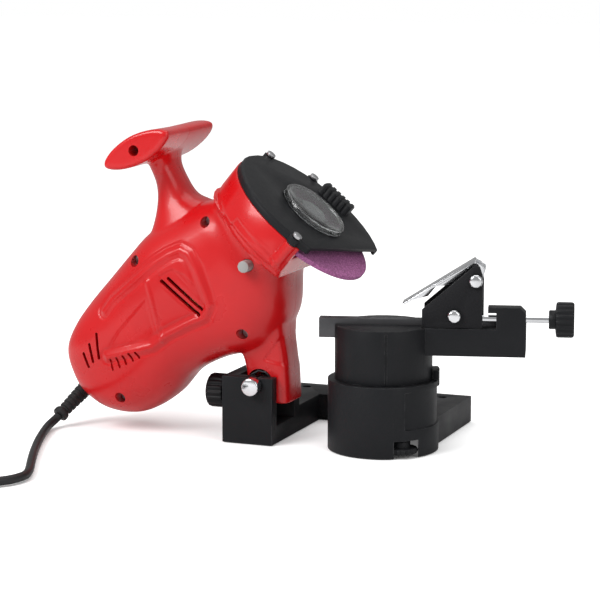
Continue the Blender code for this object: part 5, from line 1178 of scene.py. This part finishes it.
class SHARPENER_OT_vise(bpy.types.Operator):
    """Finishes the swivelling vise, its rails and its clamp knob"""

    bl_idname = "sharpener.vise"
    bl_label = "Vise"

    def execute(self, context):
        soft_edged("vise_body")
        soft_edged("guide_rail_front", 0.0004)
        soft_edged("guide_rail_rear", 0.0004)
        kept("clamp_knob")
        return {"FINISHED"}


class SHARPENER_OT_stop(bpy.types.Operator):
    """Finishes the stop bracket, its pawl and its screw"""

    bl_idname = "sharpener.stop"
    bl_label = "Stop"

    def execute(self, context):
        soft_edged("stop_bracket", 0.0005)
        soft_edged("stop_pawl", 0.0003)
        soft_edged("pawl_bolt", 0.0005)
        soft_edged("bracket_bolt", 0.0005)
        kept("stop_screw")
        knob_piece("stop_knob", (math.cos(VISE_TURN), math.sin(VISE_TURN), 0), 0.012, 0.0125)
        return {"FINISHED"}


class SHARPENER_PT_panel(bpy.types.Panel):
    """Lists the groups of the sharpener and their settings"""

    bl_idname = "SHARPENER_PT_panel"
    bl_label = "Bench sharpener"
    bl_space_type = "VIEW_3D"
    bl_region_type = "UI"
    bl_category = "Sharpener"

    def draw(self, context):
        layout = self.layout
        scene = context.scene
        for group in (scene.sharpener_colours, scene.sharpener_sizes, scene.sharpener_light):
            box = layout.box()
            for label in group.bl_rna.properties.keys():
                if label not in ("rna_type", "name"):
                    box.prop(group, label)
        for operator in OPERATORS:
            layout.operator(operator.bl_idname)


OPERATORS = (
    SHARPENER_OT_stage,
    SHARPENER_OT_cord,
    SHARPENER_OT_housing,
    SHARPENER_OT_guard,
    SHARPENER_OT_wheel,
    SHARPENER_OT_motor,
    SHARPENER_OT_base,
    SHARPENER_OT_vise,
    SHARPENER_OT_stop,
)
CLASSES = (FinishColours, MouldSizes, StageLight, *OPERATORS, SHARPENER_PT_panel)


def register():
    for kind in CLASSES:
        bpy.utils.register_class(kind)
    bpy.types.Scene.sharpener_colours = PointerProperty(type=FinishColours)
    bpy.types.Scene.sharpener_sizes = PointerProperty(type=MouldSizes)
    bpy.types.Scene.sharpener_light = PointerProperty(type=StageLight)


def unregister():
    del bpy.types.Scene.sharpener_light
    del bpy.types.Scene.sharpener_sizes
    del bpy.types.Scene.sharpener_colours
    for kind in reversed(CLASSES):
        bpy.utils.unregister_class(kind)


def main():
    register()
    bpy.ops.sharpener.stage()
    bpy.ops.sharpener.cord()
    bpy.ops.sharpener.housing()
    bpy.ops.sharpener.guard()
    bpy.ops.sharpener.wheel()
    bpy.ops.sharpener.motor()
    bpy.ops.sharpener.base()
    bpy.ops.sharpener.vise()
    bpy.ops.sharpener.stop()
    bpy.context.view_layer.update()


if __name__ == "__main__":
    main()
